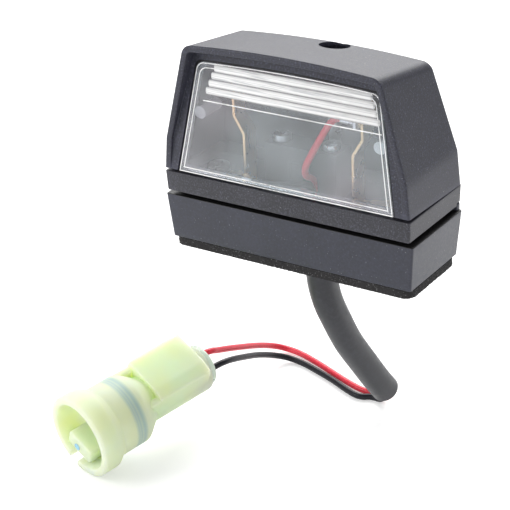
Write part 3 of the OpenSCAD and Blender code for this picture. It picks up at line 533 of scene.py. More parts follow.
lens_clear = clear("lens_clear", (0.89, 0.95, 0.99), 0.12, 0.03, 0.0, (0.97, 0.94, 1.0))
border_clear = clear("border_clear", (0.97, 0.98, 1.0), 0.08, 0.06)
peg_clear = clear("peg_clear", (0.97, 0.98, 1.0), 0.55, 0.12, 0.03)
line_clear = clear("line_clear", WHITE, 0.95, 0.25)
bulb_clear = clear("bulb_clear", (0.98, 0.98, 0.98), 0.02, 0.02)
retainer_clear = clear("retainer_clear", (0.8, 0.92, 0.78), 0.7, 0.3)
print("clear finishes ready")

# %% Finish of the prism ribs
RIB_TOP_Z, RIB_STEP, RIB_R = 45.8, 1.8, 0.9
# Ramp of painted reflected light across each rib, with painted shade at its edges.
RIB_LIGHT_STOPS = [(0.0, 0.12), (0.09, 0.5), (0.2, 1.0), (0.52, 1.0), (0.58, 0.62), (0.64, 0.95), (0.86, 0.8),
             (0.95, 0.35), (1.0, 0.12)]
COUNT_FROM = 8.0


def ridged_clear():
    """Clear prisms whose thrown-back white light is painted on: the height is counted in ribs, from
    COUNT_FROM at the top rib so that it stays above zero, and its fraction runs a ramp that paints each
    rib a bright middle as reflected light, a dark line of shade at each edge and a fainter one above the
    middle. Long thin streaks, which slope a little against the ribs, and a fine relief break the white up."""
    material, shader = new_material("rib_clear", WHITE, {
        "IOR": ACRYLIC_IOR, "Roughness": 0.14, "Transmission Weight": 0.12})
    low = (RIB_TOP_Z - RIB_STEP / 2) * MM
    count = spread(material, along_axis(material, "Z"), COUNT_FROM, COUNT_FROM + 1, low, low + RIB_STEP * MM,
                   clamp=False)
    band = ramp_of(material, maths(material, "FRACT", count), RIB_LIGHT_STOPS)
    sloped = turned_place(material, Scale=(25.0, 1.0, 1.0), Rotation=(0.0, math.radians(2.0), 0.0))
    streak = noise(material, 0.45, 2.0, sloped)
    tint = blend_colour(material, band, (0.16, 0.15, 0.16), WHITE)
    tint = blend_colour(material, spread(material, streak, 0.0, 0.55, 0.5, 0.66), tint, (0.42, 0.43, 0.46))
    feed(material, tint, shader.inputs["Base Color"])
    emboss(material, shader, streak, 0.05)
    return material


rib_clear = ridged_clear()
print("rib finish ready")

# %% [markdown]
# ## The plug's own frame
# The plug lies tilted, so its shapes are worked out along their own axis, from the back at 0 to the
# mouth at +X, and then turned by the three angles of the part's source and moved to their place.

# %% The plug's own frame
PLUG_AT = np.array([-29.6, -5.52, -34.92])
PLUG_TURN = (-23.1, 7.1, -106.2)


def turn_matrix(angles):
    """Turns about X, then Y, then Z, in degrees."""
    x, y, z = (math.radians(a) for a in angles)
    return np.array(Matrix.Rotation(z, 3, "Z") @ Matrix.Rotation(y, 3, "Y") @ Matrix.Rotation(x, 3, "X"))


plug_turn = turn_matrix(PLUG_TURN)


def at_plug(points):
    """Moves points from the plug's own frame to where the plug lies."""
    return points @ plug_turn.T + PLUG_AT


def plug_place(material):
    """Object coordinates turned back into the plug's own frame, in metres."""
    return turned_place(material, Location=PLUG_AT * MM, Rotation=[math.radians(a) for a in PLUG_TURN])


print("mouth direction:", np.round(plug_turn[:, 0], 3).tolist())


# %% [markdown]
# ## Milky nylon
# The plug is unfilled nylon, milky and pale yellow green: light goes in and comes out elsewhere, so it
# is all subsurface. A soft seal sits inside its barrel and shows through as a grey green band with two
# lips. The real depth is hard to see into with a render, so the band is painted where the seal lies.

# %% Milky nylon
SEAL_BAND = (24.6, 28.8)
SEAL_STOPS = [(0.06, 0.0), (0.24, 0.8), (0.34, 0.95), (0.46, 0.55), (0.56, 0.9), (0.64, 0.6), (0.72, 0.8),
              (0.92, 0.0)]


def milky_nylon():
    """Pale nylon whose colour drifts, with a grey green band where the seal shows through."""
    pale = (0.74, 0.88, 0.62)
    material, shader = new_material("milky_nylon", pale, {
        "Roughness": 0.5, "Specular IOR Level": 0.25, "IOR": 1.5, "Subsurface Weight": 1.0,
        "Subsurface Scale": 6 * MM, "Subsurface Radius": (1.0, 1.0, 0.7)})
    place = plug_place(material)
    drift = noise(material, 9.0, 2.0, place)
    tint = blend_colour(material, spread(material, drift, 0.0, 1.0), pale, (0.77, 0.86, 0.53))
    start, end = (x * MM for x in SEAL_BAND)
    band = ramp_of(material, spread(material, along_axis(material, "X", place), 0.0, 1.0, start, end),
                   SEAL_STOPS)
    tint = blend_colour(material, band, tint, (0.44, 0.62, 0.56))
    feed(material, tint, shader.inputs["Base Color"])
    emboss(material, shader, noise(material, 0.6, 3.0, place), 0.02, 0.6)
    return material


nylon = milky_nylon()
seal_green = moulded("seal_green", (0.36, 0.5, 0.45), 0.45, 0.5, 0.01)
print("nylon ready")

# %% [markdown]
# ## The lead
# The sleeve is a vinyl tube over both wires: a ring carried along the route, with a rounded, slightly
# hollow end. The wires are thinner rings on their own routes.

# %% Sleeve
def along(path, radius, end_radius, inner=0.0, hollow=0.0):
    """Stations of a tube: closed at its start, round at its edges, and with a hollow at its end. The
    radius changes evenly from point to point of the path."""
    total = route_length(path)
    travelled = np.concatenate([[0.0], np.cumsum(np.linalg.norm(np.diff(path, axis=0), axis=1))])
    edge = 0.25
    at = np.linspace(edge, total - edge, len(path) * 2)
    radii = np.interp(at, travelled, np.linspace(radius, end_radius, len(path)))
    stations = [[0.0, 0.0], [0.0, radius - edge], *np.column_stack([at, radii]).tolist()]
    stations += [[total, end_radius - edge]]
    if hollow:
        stations += [[total, inner], [total - hollow, inner]]
    stations += [[stations[-1][0], 0.0]]
    return stations


sleeve_stations = along(sleeve_path, SLEEVE_R, SLEEVE_END_R, 2.8, 0.6)
sleeve_mesh = build_mesh("sleeve_tube", [sweep(sleeve_path, sleeve_stations, (1, 0, 0), 40)])
sleeve = add_piece("lead_sleeve", sleeve_mesh, sleeve_grey, "sleeve_vinyl", ["sleeve"])

# %% Wires outside the lamp
def wire_mesh(name, path, side, sides):
    """Round wire of radius WIRE_R along a path."""
    return build_mesh(name, [sweep(path, along(path, WIRE_R, WIRE_R), side, sides)])


red = add_piece("lead_red_wire", wire_mesh("red_tube", red_path, (0.3, 0, 1), 20), red_vinyl,
                "red_insulation", ["red_wire"])
black = add_piece("lead_black_wire", wire_mesh("black_tube", black_path, (0.3, 0, 1), 20), black_vinyl,
                  "black_insulation", ["black_wire"])

# %% Wires inside the lamp
for name, points, side, finish, slot, node in (
        ("inner_red_lead", INNER_RED, (1, 0, 0.2), red_vinyl, "red_insulation", "inner_red_wire"),
        ("inner_black_lead", INNER_BLACK, (0.3, 1, 1), black_vinyl, "black_insulation",
         "inner_black_wire")):
    add_piece(name, wire_mesh(name, smooth_route(points), side, 16), finish, slot, [node])

# %% [markdown]
# ## Hood
# On the real lamp the hood is one moulding: a round-shouldered arch, closed at the back, with a rim, a
# recess that gets deeper upwards, a flat frame, and the opening for the lens. It is one closed sheet
# here: a profile of rows runs from the middle of the back wall over the outside, round the rim, into
# the recess, through the opening and back along the inside. Each row is the arch itself, set in by some
# amount and laid at its own depth. That gives every edge a true radius, which a box with cuts does not.

# %% Sizes of the hood and the lens
BEND_W, SHOULDER_W = 63.2, 50.8
FOOT_GAP, LENS_FOOT = 0.7, TRAY_TOP + 0.6
CROWN, SHOULDER_R = 1.1, 3.0
SHOULDER_FALL = 0.82 * CROWN
RIM_W, HOOD_WALL, LENS_T = 1.6, 1.8, 1.8
LENS_W0, LENS_W1, LENS_H = 56.8, 47.0, 27.9
LENS_CORNER, LENS_CROWN, LENS_GAP = 2.0, 0.6, 0.5
FLANK = (BEND_W - SHOULDER_W) / 2 / (ROOF_Z - CROWN - BEND_Z)
SLOPE = math.atan(FLANK)
ROOF_FALL = math.tan(math.radians(7.9))
FLARE = math.tan(math.radians(0.6))
BACK_LEAN = math.tan(math.radians(4.4))
FACE_TILT = math.radians(6.6)
LENS_LEAN = (LENS_W0 - LENS_W1) / 2 / LENS_H
SHOULDER_END, LENS_CORNER_END = math.radians(85.0), math.radians(86.0)
SHARES = np.concatenate([np.linspace(0, 1, 7)[:-1], 1 + np.linspace(0, 1, 15)[:-1],
                         2 + np.linspace(0, 1, 13)[:-1], 3 + np.linspace(0, 1, 15)])
print("columns in half an arch:", len(SHARES))


# %% Arches
def face_y(z, depth=0.0):
    """Depth of the tilted lens face: the front plus the height above the tray times the tilt."""
    return FRONT_Y + (z - TRAY_TOP) * math.tan(FACE_TILT) + depth / math.cos(FACE_TILT)


def back_y(z, inset):
    """Depth of the back wall, which leans forward above the bend."""
    return BACK_Y - inset - np.maximum(z - BEND_Z, 0) * BACK_LEAN


def hood_arch(y, inset):
    """Right half of the hood's arch at depth y, set in by inset: foot to bend, bend to the tangent of
    the shoulder's circle, round the circle, then along the crowned roof to the middle. The foot rises
    evenly from the back to the front. SHARES counts the four stretches and the share p of each."""
    y = np.broadcast_to(y, SHARES.shape).astype(float)
    foot = FOOT_GAP * (BACK_Y - y) / TRAY_D1
    foot_x = TRAY_W1 / 2 - (TRAY_W1 - BEND_W) / 2 * foot / BEND_H
    part = SHARES.astype(int)
    p = np.where(part == 4, 1.0, SHARES % 1.0)
    r = np.maximum(SHOULDER_R - inset, 0.5)
    z0 = ROOF_Z - inset - SHOULDER_FALL - r
    cx = BEND_W / 2 - FLANK * (z0 - BEND_Z) - inset - r / math.cos(SLOPE) + FLARE * (y - FRONT_Y)
    cz = z0 - ROOF_FALL * (y - FRONT_Y)
    bx = BEND_W / 2 - inset
    a0 = np.arctan2(BEND_Z - cz, bx - cx) + np.arccos(r / np.hypot(bx - cx, BEND_Z - cz))
    turn = a0 + p * (SHOULDER_END - a0)
    roof_x = (cx + r * math.cos(SHOULDER_END)) * (1 - p)
    roof_z = ROOF_Z - inset - ROOF_FALL * (y - FRONT_Y)
    x = np.select([part == 0, part == 1, part == 2],
                  [foot_x - inset + p * (BEND_W / 2 - foot_x),
                   bx + p * (cx + r * np.cos(a0) - bx),
                   cx + r * np.cos(turn)], roof_x)
    z = np.select([part == 0, part == 1, part == 2],
                  [TRAY_TOP + foot + p * (BEND_H - foot),
                   BEND_Z + p * (cz + r * np.sin(a0) - BEND_Z),
                   cz + r * np.sin(turn)],
                  roof_z - CROWN * (roof_x / (SHOULDER_W / 2)) ** 2)
    return x, z


def lens_side(z, grow=0.0):
    """Half width of the lens at height z, grown by grow."""
    return LENS_W0 / 2 - LENS_LEAN * (z - TRAY_TOP) + grow


def lens_arch(grow, foot=LENS_FOOT):
    """Right half of the lens outline from height foot, grown by grow, with as many columns as the
    hood's arch: the leaning side, a corner's circle, then the crowned upper edge to the middle."""
    part = SHARES.astype(int)
    p = np.where(part == 4, 1.0, SHARES % 1.0)
    r = LENS_CORNER
    cz = TRAY_TOP + LENS_H + grow - r - LENS_CROWN
    a0 = math.atan(LENS_LEAN)
    cx = lens_side(cz, grow) - r / math.cos(a0)
    start = cz + r * math.sin(a0)
    end_x = cx + r * math.cos(LENS_CORNER_END)
    low = np.where(part == 0, foot + p * (BEND_Z - foot), BEND_Z + p * (start - BEND_Z))
    turn = a0 + p * (LENS_CORNER_END - a0)
    top_x = end_x * (1 - p)
    top_z = cz + r * math.sin(LENS_CORNER_END) + LENS_CROWN * (1 - (top_x / end_x) ** 2)
    x = np.select([part <= 1, part == 2], [lens_side(low, grow), cx + r * np.cos(turn)], top_x)
    z = np.select([part <= 1, part == 2], [low, cz + r * np.sin(turn)], top_z)
    return x, z


def whole(x, y, z):
    """A row over the whole arch: the right half and its mirror image."""
    right = np.stack([x, np.broadcast_to(y, x.shape), z], -1)
    left = right[:-1][::-1] * np.array([-1.0, 1.0, 1.0])
    return np.vstack([right, left])


print("half width of the hood at its shoulder:", round(float(hood_arch(FRONT_Y, 0.0)[0][-15]), 1))


# %% Rows of the hood
def settled(inset, back_inset):
    """Arch at the back wall: the roof falls with depth and the wall leans with height, so both are
    worked out in turn a few times."""
    y = np.full(SHARES.shape, BACK_Y)
    for _ in range(6):
        x, z = hood_arch(y, inset)
        y = back_y(z, back_inset)
    return x, y, z


def hood_rows():
    """All rows, from the middle of the back wall outside to the middle of the back wall inside."""
    rows = []
    edge, nose, inner_edge = 1.0, 0.5, 0.3
    x, y, z = settled(edge, 0.0)
    rows += [whole(x * s, y, z) for s in (0.0, 0.25, 0.5, 0.75, 0.93)]
    for face, wall in quarter(90, 0, 7):
        x, y, z = settled(edge * wall, edge * face)
        rows.append(whole(x, y, z))
    for t in np.linspace(0, 1, 26)[1:]:
        deep = y + t * (FRONT_Y + nose - y)
        x, z = hood_arch(deep, 0.0)
        rows.append(whole(x, deep, z))
    for face, wall in quarter(0, 90, 7)[1:]:
        x, z = hood_arch(FRONT_Y, nose * wall)
        rows.append(whole(x, FRONT_Y + nose * face, z))
    rim_x, rim_z = hood_arch(FRONT_Y, RIM_W)
    recess = face_y(rim_z) - FRONT_Y
    turn = np.minimum(inner_edge, 0.45 * recess)
    for face, wall in quarter(90, 0, 5):
        x, z = hood_arch(FRONT_Y, RIM_W - turn * wall)
        rows.append(whole(x, FRONT_Y + turn * face, z))
    rows += [whole(rim_x, FRONT_Y + turn + t * (recess - turn), rim_z) for t in (0.3, 0.65, 0.93)]
    lens_x, lens_z = lens_arch(LENS_GAP, TRAY_TOP + FOOT_GAP)
    for t in (0.06, 0.3, 0.6, 0.92, 1.0):
        x, z = rim_x + t * (lens_x - rim_x), rim_z + t * (lens_z - rim_z)
        rows.append(whole(x, face_y(z), z))
    rows += [whole(lens_x, face_y(lens_z, d), lens_z) for d in (0.1, LENS_T)]
    x, z = hood_arch(face_y(lens_z, LENS_T), HOOD_WALL)
    start = face_y(z, LENS_T)
    rows.append(whole(x, start, z))
    end = settled(HOOD_WALL, HOOD_WALL)[1]
    for t in np.linspace(0, 1, 10)[1:]:
        deep = start + t * (end - start)
        x, z = hood_arch(deep, HOOD_WALL)
        rows.append(whole(x, deep, z))
    rows += [whole(x * s, deep, z) for s in (0.6, 0.3, 0.0)]
    return np.stack(rows)


hood_points = hood_rows()
print("hood grid:", hood_points.shape)


# %% [markdown]
# ## The screw's hole in the roof
# A cover screw sits deep in a tube behind the lens, and its round hole breaks through the roof near the
# back. A round hole in a curved grid would bend all its lines, so the hole is cut with a Boolean, which
# is applied at once, and the tube below it is a small lathe of its own.

# %% Cut the hole and add the tube
SCREW_X, SCREW_Y = 3.0, BACK_Y - 5.6
SEAT_Z, BOSS_Z = TRAY_TOP + 16.5, TRAY_TOP + 14.5
ACCESS_R, TUBE_R, TUBE_TOP, SHANK_R = 3.6, 3.95, 48.4, 1.65


def carve(mesh, cutter_mesh, operation="DIFFERENCE", sharp=30.0):
    """Applies one exact Boolean to a mesh and returns the new mesh."""
    target = bpy.data.objects.new("carve_target", mesh)
    cutter = bpy.data.objects.new("carve_cutter", cutter_mesh)
    for item in (target, cutter):
        bpy.context.scene.collection.objects.link(item)
    cut = target.modifiers.new("cut", "BOOLEAN")
    cut.operation = operation
    cut.solver = "EXACT"
    cut.object = cutter
    graph = bpy.context.evaluated_depsgraph_get()
    result = bpy.data.meshes.new_from_object(target.evaluated_get(graph))
    result.name = mesh.name
    bpy.data.objects.remove(target)
    bpy.data.objects.remove(cutter)
    result.shade_smooth()
    result.set_sharp_from_angle(angle=math.radians(sharp))
    return result


hood_mesh = build_mesh("hood_shell", [shell(hood_points, False)], fill_holes=True)
bore = build_mesh("bore", [upright(rod(TUBE_TOP - 1.4, ROOF_Z + 7.7, ACCESS_R, 64), SCREW_X, SCREW_Y)])
hood_mesh = carve(hood_mesh, bore)
add_piece("hood_cover", hood_mesh, hood_grey, "hood_plastic", ["hood"])
tube = [[BOSS_Z, SHANK_R], [BOSS_Z, TUBE_R], [TUBE_TOP, TUBE_R], [TUBE_TOP, ACCESS_R],
        [SEAT_Z, ACCESS_R], [SEAT_Z, SHANK_R], [BOSS_Z, SHANK_R]]
tube_mesh = build_mesh("screw_tube", [upright(lathe(tube, 64), SCREW_X, SCREW_Y)])
add_piece("hood_screw_tube", tube_mesh, hood_grey, "hood_plastic")

# %% [markdown]
# ## Lens
# The lens is one clear moulding in the tilted opening: a plate, a raised border on its inside, two pegs
# behind it, and four prism ribs that throw light down on the number plate. Here each of these is a
# closed piece of its own, so that each can have its own haze. The plate is a sheet of rows, as the hood
# is, and the ribs are half-round bars that stand a little proud of it. Fine lines round and across the
# face show where the mould's parts met.

# %% Lens plate
HAIR = 0.01


def closed_outline(grow, low=LENS_FOOT, count=40):
    """The lens outline as one closed loop: the arch and the straight lower edge."""
    x, z = lens_arch(grow)
    loop = whole(x, 0.0, np.maximum(z, low))[:, [0, 2]]
    foot = np.linspace(loop[-1], loop[0], count + 2)[1:-1]
    return np.vstack([loop, foot])


def on_face(outline, depth):
    """Outline points laid at a depth behind the tilted face."""
    x, z = outline[:, 0], outline[:, 1]
    return np.stack([x, face_y(z, depth), z], -1)


def inset_row(inset, depth):
    """The lens outline drawn in by inset on all sides, at a depth behind the face."""
    return on_face(closed_outline(-inset, LENS_FOOT + inset), depth)


def plate_rows(thickness, edge=0.25):
    """Closed plate whose edges are rounded by edge. The rows that close its front and its back are
    its outline drawn towards the middle."""
    middle = np.array([0.0, TRAY_TOP + LENS_H / 2])
    outline = closed_outline(-edge)
    caps = [(middle + (outline - middle) * share) for share in (0.0, 0.5, 0.9)]
    rows = [on_face(cap, 0.0) for cap in caps]
    rows += [inset_row(edge * wall, edge * face) for face, wall in quarter(90, 0, 4)]
    rows += [inset_row(edge * wall, thickness - edge * face) for face, wall in quarter(0, 90, 4)]
    rows += [on_face(cap, thickness) for cap in caps[::-1]]
    return np.stack(rows)


lens_mesh = build_mesh("lens_plate", [shell(plate_rows(LENS_T))])
add_piece("lens_pane", lens_mesh, lens_clear, "lens_clear", ["lens"])

# %% Border and pegs
BORDER_W, BORDER_T, BORDER_EDGE, BORDER_INSET = 1.2, 0.9, 0.2, 0.1
PEG_X, PEG_Z, PEG_R, PEG_L, PEG_EDGE, PEG_ROOM = 23.5, TRAY_TOP + 14.8, 1.5, 7.1, 0.4, 0.17


def border_rows():
    """Raised border: a closed profile carried round the outline, a hair behind the plate."""
    near, deep = LENS_T + HAIR, LENS_T + BORDER_T
    corners = [(BORDER_INSET, near), (BORDER_INSET, deep - BORDER_EDGE),
               (BORDER_INSET + BORDER_EDGE, deep), (BORDER_W - BORDER_EDGE, deep),
               (BORDER_W, deep - BORDER_EDGE), (BORDER_W, near), (BORDER_INSET, near)]
    return np.stack([inset_row(inset, depth) for inset, depth in corners])


def peg(x):
    """Clear peg behind the lens: a lathe with a rounded end, laid along Y."""
    profile = [[0, 0], [0, PEG_R], *fillet((PEG_L - PEG_EDGE, PEG_R - PEG_EDGE), PEG_EDGE, 90, 0, 5),
               [PEG_L, 0]]
    ring = lathe(profile, 32)
    start = face_y(PEG_Z, LENS_T) + PEG_ROOM
    return np.stack([ring[..., 1] + x, ring[..., 0] + start, ring[..., 2] + PEG_Z], -1)


border_mesh = build_mesh("lens_border", [shell(border_rows())])
add_piece("lens_border", border_mesh, border_clear, "lens_clear")
peg_mesh = build_mesh("lens_pegs", [shell(peg(-PEG_X)), shell(peg(PEG_X))])
add_piece("lens_pegs", peg_mesh, peg_clear, "lens_clear")


# %% Prism ribs
def rib(z, x0, x1, r, sink, end=0.5):
    """Half-round bar along X, of radius r and sunk into the lens face by sink. Over the last end
    millimetres its radius is r * sqrt(1 - e^2), with e from 0 to 1."""
    turn = np.linspace(0, np.pi / 2, 6)
    x = np.concatenate([x0 + end * (1 - np.cos(turn)), x1 - end * (1 - np.cos(turn[::-1]))])
    e = np.clip(np.maximum(x0 + end - x, x - (x1 - end)) / end, 0, 1)
    size = r * np.sqrt(1 - e ** 2)[:, None]
    a = np.linspace(0, 2 * np.pi, 40, endpoint=False)[None, :]
    height = z + np.sin(a) * size
    out = np.maximum(np.cos(a) * size - sink, HAIR)
    return np.stack([np.broadcast_to(x[:, None], height.shape), face_y(height) - out, height], -1)


RIB_COUNT, RIB_SINK, RIB_LEFT, RIB_RIGHT, RIB_TAPER = 4, 0.5, 3.5, 0.7, 0.4
ribs = []
for i in range(RIB_COUNT):
    z = RIB_TOP_Z - i * RIB_STEP
    taper = RIB_TAPER * (RIB_COUNT - 1 - i)
    ribs.append(shell(rib(z, RIB_LEFT + taper - lens_side(z), lens_side(z) - RIB_RIGHT - taper,
                          RIB_R - 2 * HAIR, RIB_SINK)))
add_piece("lens_prism_ribs", build_mesh("lens_ribs", ribs, 50.0), rib_clear, "lens_clear")


# %% Moulding lines
LINE_Z, LINE_LEFT, LINE_RIGHT, LINE_R = 37.95, -22.0, 24.6, 0.13


def lens_line(inset, half_width=0.1, proud=0.05, sink=0.06):
    """Fine ridge carried round the lens outline, inset millimetres inside it, just proud of the face."""
    low, high = inset - half_width, inset + half_width
    corners = [(low, sink), (low, -proud), (high, -proud), (high, sink), (low, sink)]
    return np.stack([inset_row(w, depth) for w, depth in corners])


lines = [shell(lens_line(inset)) for inset in (0.2, BORDER_W)]
lines.append(shell(rib(LINE_Z, LINE_LEFT, LINE_RIGHT, LINE_R, LINE_R - 0.07)))
add_piece("lens_moulding_lines", build_mesh("lens_lines", lines, 50.0), line_clear, "lens_clear")

# %% [markdown]
# ## Black line round the lens
# A thin dark line runs between the lens and its frame. It is a small closed profile carried round the
# lens outline, sunk under the face, so that it reads as a gap with a seal in it.

# %% Seal line
def seal_rows(inner=0.06, outer=0.44, near=0.35, deep=LENS_T - 0.1):
    """Closed profile between the lens and its frame, from just under the face to the lens's back."""
    rows = []
    for grow, depth in ((inner, near), (outer, near), (outer, deep), (inner, deep), (inner, near)):
        x, z = lens_arch(grow)
        rows.append(whole(x, face_y(z, depth), z))
    return np.stack(rows)


line_mesh = build_mesh("seal_line", [shell(seal_rows(), False)], fill_holes=True)
add_piece("lens_seal_line", line_mesh, seal_black, "seal_rubber", ["lens_seal"])

# %% [markdown]
# ## Tray and plinth
# Both are shallow mouldings with a little draft and round upright corners. A rounded rectangle is
# carried up through levels, each with its own width, depth and inset, and the insets near the edges
# follow a quarter circle. The rows that close the top and the underside shrink to a line.

# %% Rounded boxes
def round_rect(w, d, r, n=8):
    """Closed outline of a w by d rectangle whose corners are quarter circles of radius r."""
    a = np.linspace(0, np.pi / 2, n)
    arc = np.stack([np.cos(a), np.sin(a)], -1) * r
    signs = [(1, 1), (-1, 1), (-1, -1), (1, -1)]
    corners = []
    for i, (sx, sy) in enumerate(signs):
        c, s = np.cos(i * np.pi / 2), np.sin(i * np.pi / 2)
        rotated = arc @ np.array([[c, s], [-s, c]])
        corners.append(rotated + np.array([sx * (w / 2 - r), sy * (d / 2 - r)]))
    return np.vstack(corners)


def drafted(w0, d0, w1, d1, z0, z1, r):
    """A function of height and inset that gives the outline of a drafted box there."""
    def ring(z, inset, share=1.0):
        t = (z - z0) / (z1 - z0)
        w, d = w0 + (w1 - w0) * t - 2 * inset, d0 + (d1 - d0) * t - 2 * inset
        outline = round_rect(w, d, max(r - inset, 0.3)) * np.array([share, share])
        return np.column_stack([outline, np.full(len(outline), z)])
    return ring


def edge_rows(ring, z, e, side, turns):
    """Rows of a quarter-round edge of radius e at height z. The solid lies above z where side is 1,
    and below it where side is -1."""
    return [ring(z + side * e * face, e * wall) for face, wall in turns]


def cup(outer, inner, z_open, z_floor, z_closed, e_open, e_closed):
    """Closed moulding with a floor: rows run from the middle of the outside of the floor, up the wall,
    over the open edge and down to the middle of the inside of the floor."""
    side = 1 if z_open > z_closed else -1
    rows = [outer(z_closed, e_closed, s) for s in (0.0, 0.3, 0.7, 0.95)]
    rows += edge_rows(outer, z_closed, e_closed, side, quarter(90, 0, 6))
    rows += [outer(z, 0.0) for z in np.linspace(z_closed + side * e_closed, z_open - side * e_open, 8)[1:-1]]
    rows += edge_rows(outer, z_open, e_open, -side, quarter(0, 90, 6))
    rows += [inner(z_open, 0.0), inner(z_floor, 0.0)]
    rows += [inner(z_floor, 0.0, s) for s in (0.7, 0.3, 0.0)]
    return np.stack(rows)


def rounded_bar(outline, x0, x1, e):
    """Closed outline in Y and Z carried along X from x0 to x1, with its ends rounded by e: each end row
    is the outline drawn in by e * (1 - cos a) and laid e * (1 - sin a) from the end."""
    middle = outline.mean(axis=0)
    size = np.abs(outline - middle).max(axis=0)

    def ring(x, inset, share=1.0):
        yz = middle + (outline - middle) * (1 - inset / size) * share
        return np.column_stack([np.full(len(yz), x), yz])
    rows = [ring(x0, e, s) for s in (0.0, 0.6)]
    rows += [ring(x0 + e * face, e * wall) for face, wall in quarter(90, 0, 5)]
    rows += [ring(x, 0.0) for x in np.linspace(x0 + e, x1 - e, 6)[1:-1]]
    rows += [ring(x1 - e * face, e * wall) for face, wall in quarter(0, 90, 5)]
    rows += [ring(x1, e, s) for s in (0.6, 0.0)]
    return np.stack(rows)


def rounded_block(x0, x1, y0, y1, z0, z1, r=0.7, e=0.5):
    """Box with round long edges of radius r and rounded ends."""
    middle = np.array([(y0 + y1) / 2, (z0 + z1) / 2])
    return rounded_bar(round_rect(y1 - y0, z1 - z0, r, 6) + middle, x0, x1, e)


print("rows and columns of a block:", rounded_block(0, 9, 0, 5, 0, 5).shape[:2])


# %% Tray
CORNER_R, INNER_R, WALL = 0.6, 1.0, 2.2
LIP_Y0, LIP_Y1, LIP_TOP, LIP_ROOM, LIP_HALF = 10.5, PLINTH_D1 / 2, PLINTH_Z1 + 1.8, 0.2, 32.3
TRAY_FLOOR, POST_R, FAR = TRAY_Z0 + 2.0, 3.2, 40.0


def moulding_rings(sizes, z0, z1):
    """Outer and inner outline functions of a moulding, from its widths and depths at z0 and z1."""
    inside = [size - 2 * WALL for size in sizes]
    return drafted(*sizes, z0, z1, CORNER_R), drafted(*inside, z0, z1, INNER_R)


tray_rings = moulding_rings((TRAY_W0, TRAY_D0, TRAY_W1, TRAY_D1), TRAY_Z0, TRAY_TOP)
tray_rows = cup(*tray_rings, TRAY_TOP - 2 * HAIR, TRAY_FLOOR, TRAY_Z0, 0.22, 0.3)
post = rod(TRAY_FLOOR - 0.5, BOSS_Z, POST_R, 48)
tray_mesh = build_mesh("tray_body", [shell(tray_rows), upright(post, SCREW_X, SCREW_Y)])
notch = rounded_block(-FAR, FAR, LIP_Y0 - LIP_ROOM, 20.0, 10.0, LIP_TOP + LIP_ROOM, 0.1, 0.1)
tray_mesh = carve(tray_mesh, build_mesh("notch", [shell(notch)]))
add_piece("tray_moulding", tray_mesh, tray_grey, "tray_plastic", ["tray"])

# %% Plinth
DECK_Z, INSERT_X, INSERT_TOP, INSERT_R, BOSS_R = PLINTH_Z1 - 2.2, 19.0, 10.3, 2.85, 4.2
plinth_rings = moulding_rings((PLINTH_W0, PLINTH_D0, PLINTH_W1, PLINTH_D1), PAD_T, PLINTH_Z1)
plinth_rows = cup(*plinth_rings, PAD_T, DECK_Z, PLINTH_Z1, 0.3, 0.25)
lip_rows = rounded_block(-LIP_HALF, LIP_HALF, LIP_Y0, LIP_Y1, PLINTH_Z1 - 0.8, LIP_TOP, 0.3, 0.4)
boss = lathe([[PAD_T, INSERT_R], [PAD_T, BOSS_R], [DECK_Z + 0.5, BOSS_R], [DECK_Z + 0.5, 0],
              [INSERT_TOP, 0], [INSERT_TOP, INSERT_R], [PAD_T, INSERT_R]], 48)
plinth_mesh = build_mesh("plinth_body", [shell(plinth_rows), shell(lip_rows)]
                         + [upright(boss, x, 0.0) for x in (-INSERT_X, INSERT_X)])
add_piece("plinth_moulding", plinth_mesh, plinth_grey, "plinth_plastic", ["plinth"])

# %% [markdown]
# ## Foam pad
# The pad is cut from closed-cell foam, and its cut edge is never clean: cells are torn open all along
# it. The edge rows are therefore moved in and out by a seeded random amount, and the bump of the foam's
# finish adds the finer pores.

# %% Foam pad
PAD_W, PAD_D, PAD_R, ROUGH = PLINTH_W0 - 0.2, PLINTH_D0 - 0.4, 2.5, 0.06


def foam_rows(seed=7, columns=720):
    """Pad of rounded rectangles with many columns. Its side rows are moved outwards or inwards by
    smoothed random amounts of about ROUGH mm, and outwards by ROUGH at most."""
    rng = np.random.default_rng(seed)
    outline = round_rect(PAD_W, PAD_D, PAD_R, 10)
    loop = np.vstack([outline, outline[:1]])
    travelled = np.concatenate([[0], np.cumsum(np.linalg.norm(np.diff(loop, axis=0), axis=1))])
    at = np.linspace(0, travelled[-1], columns, endpoint=False)
    fine = np.stack([np.interp(at, travelled, loop[:, i]) for i in range(2)], -1)
    sides = (0.12, 0.5, 0.9, 1.3, 1.7, PAD_T - 0.12)
    levels = [(0.0, 0.0), (0.0, 0.55), (0.0, 0.97), *((z, 1.0) for z in sides), (PAD_T, 0.97),
              (PAD_T, 0.55), (PAD_T, 0.0)]
    rows = []
    for z, share in levels:
        push = rng.normal(0, ROUGH, columns) if share == 1.0 else np.zeros(columns)
        push = np.minimum((push + np.roll(push, 1)) / 1.4, ROUGH)
        grown = 1 + push[:, None] / np.linalg.norm(fine, axis=1)[:, None]
        rows.append(np.column_stack([fine * share * grown, np.full(columns, z)]))
    return np.stack(rows)


pad_mesh = build_mesh("pad_body", [shell(foam_rows())], 60.0)
for x, r in ((-INSERT_X, 2.45), (INSERT_X, 2.45), (SLEEVE[0][0], 5.8)):
    punch = build_mesh("punch", [upright(rod(-2, 4, r, 48), x, 0.0)])
    pad_mesh = carve(pad_mesh, punch, sharp=60.0)
add_piece("foam_gasket", pad_mesh, foam_black, "foam", ["foam_pad"])

# %% [markdown]
# ## Bulb
# A festoon bulb is a glass tube drawn in at both ends, with a plated cap and a blunt tip at each end.
# Each is a lathe about the bulb's axis. The CAD's plain filament stays, as a coil on a straight wire.

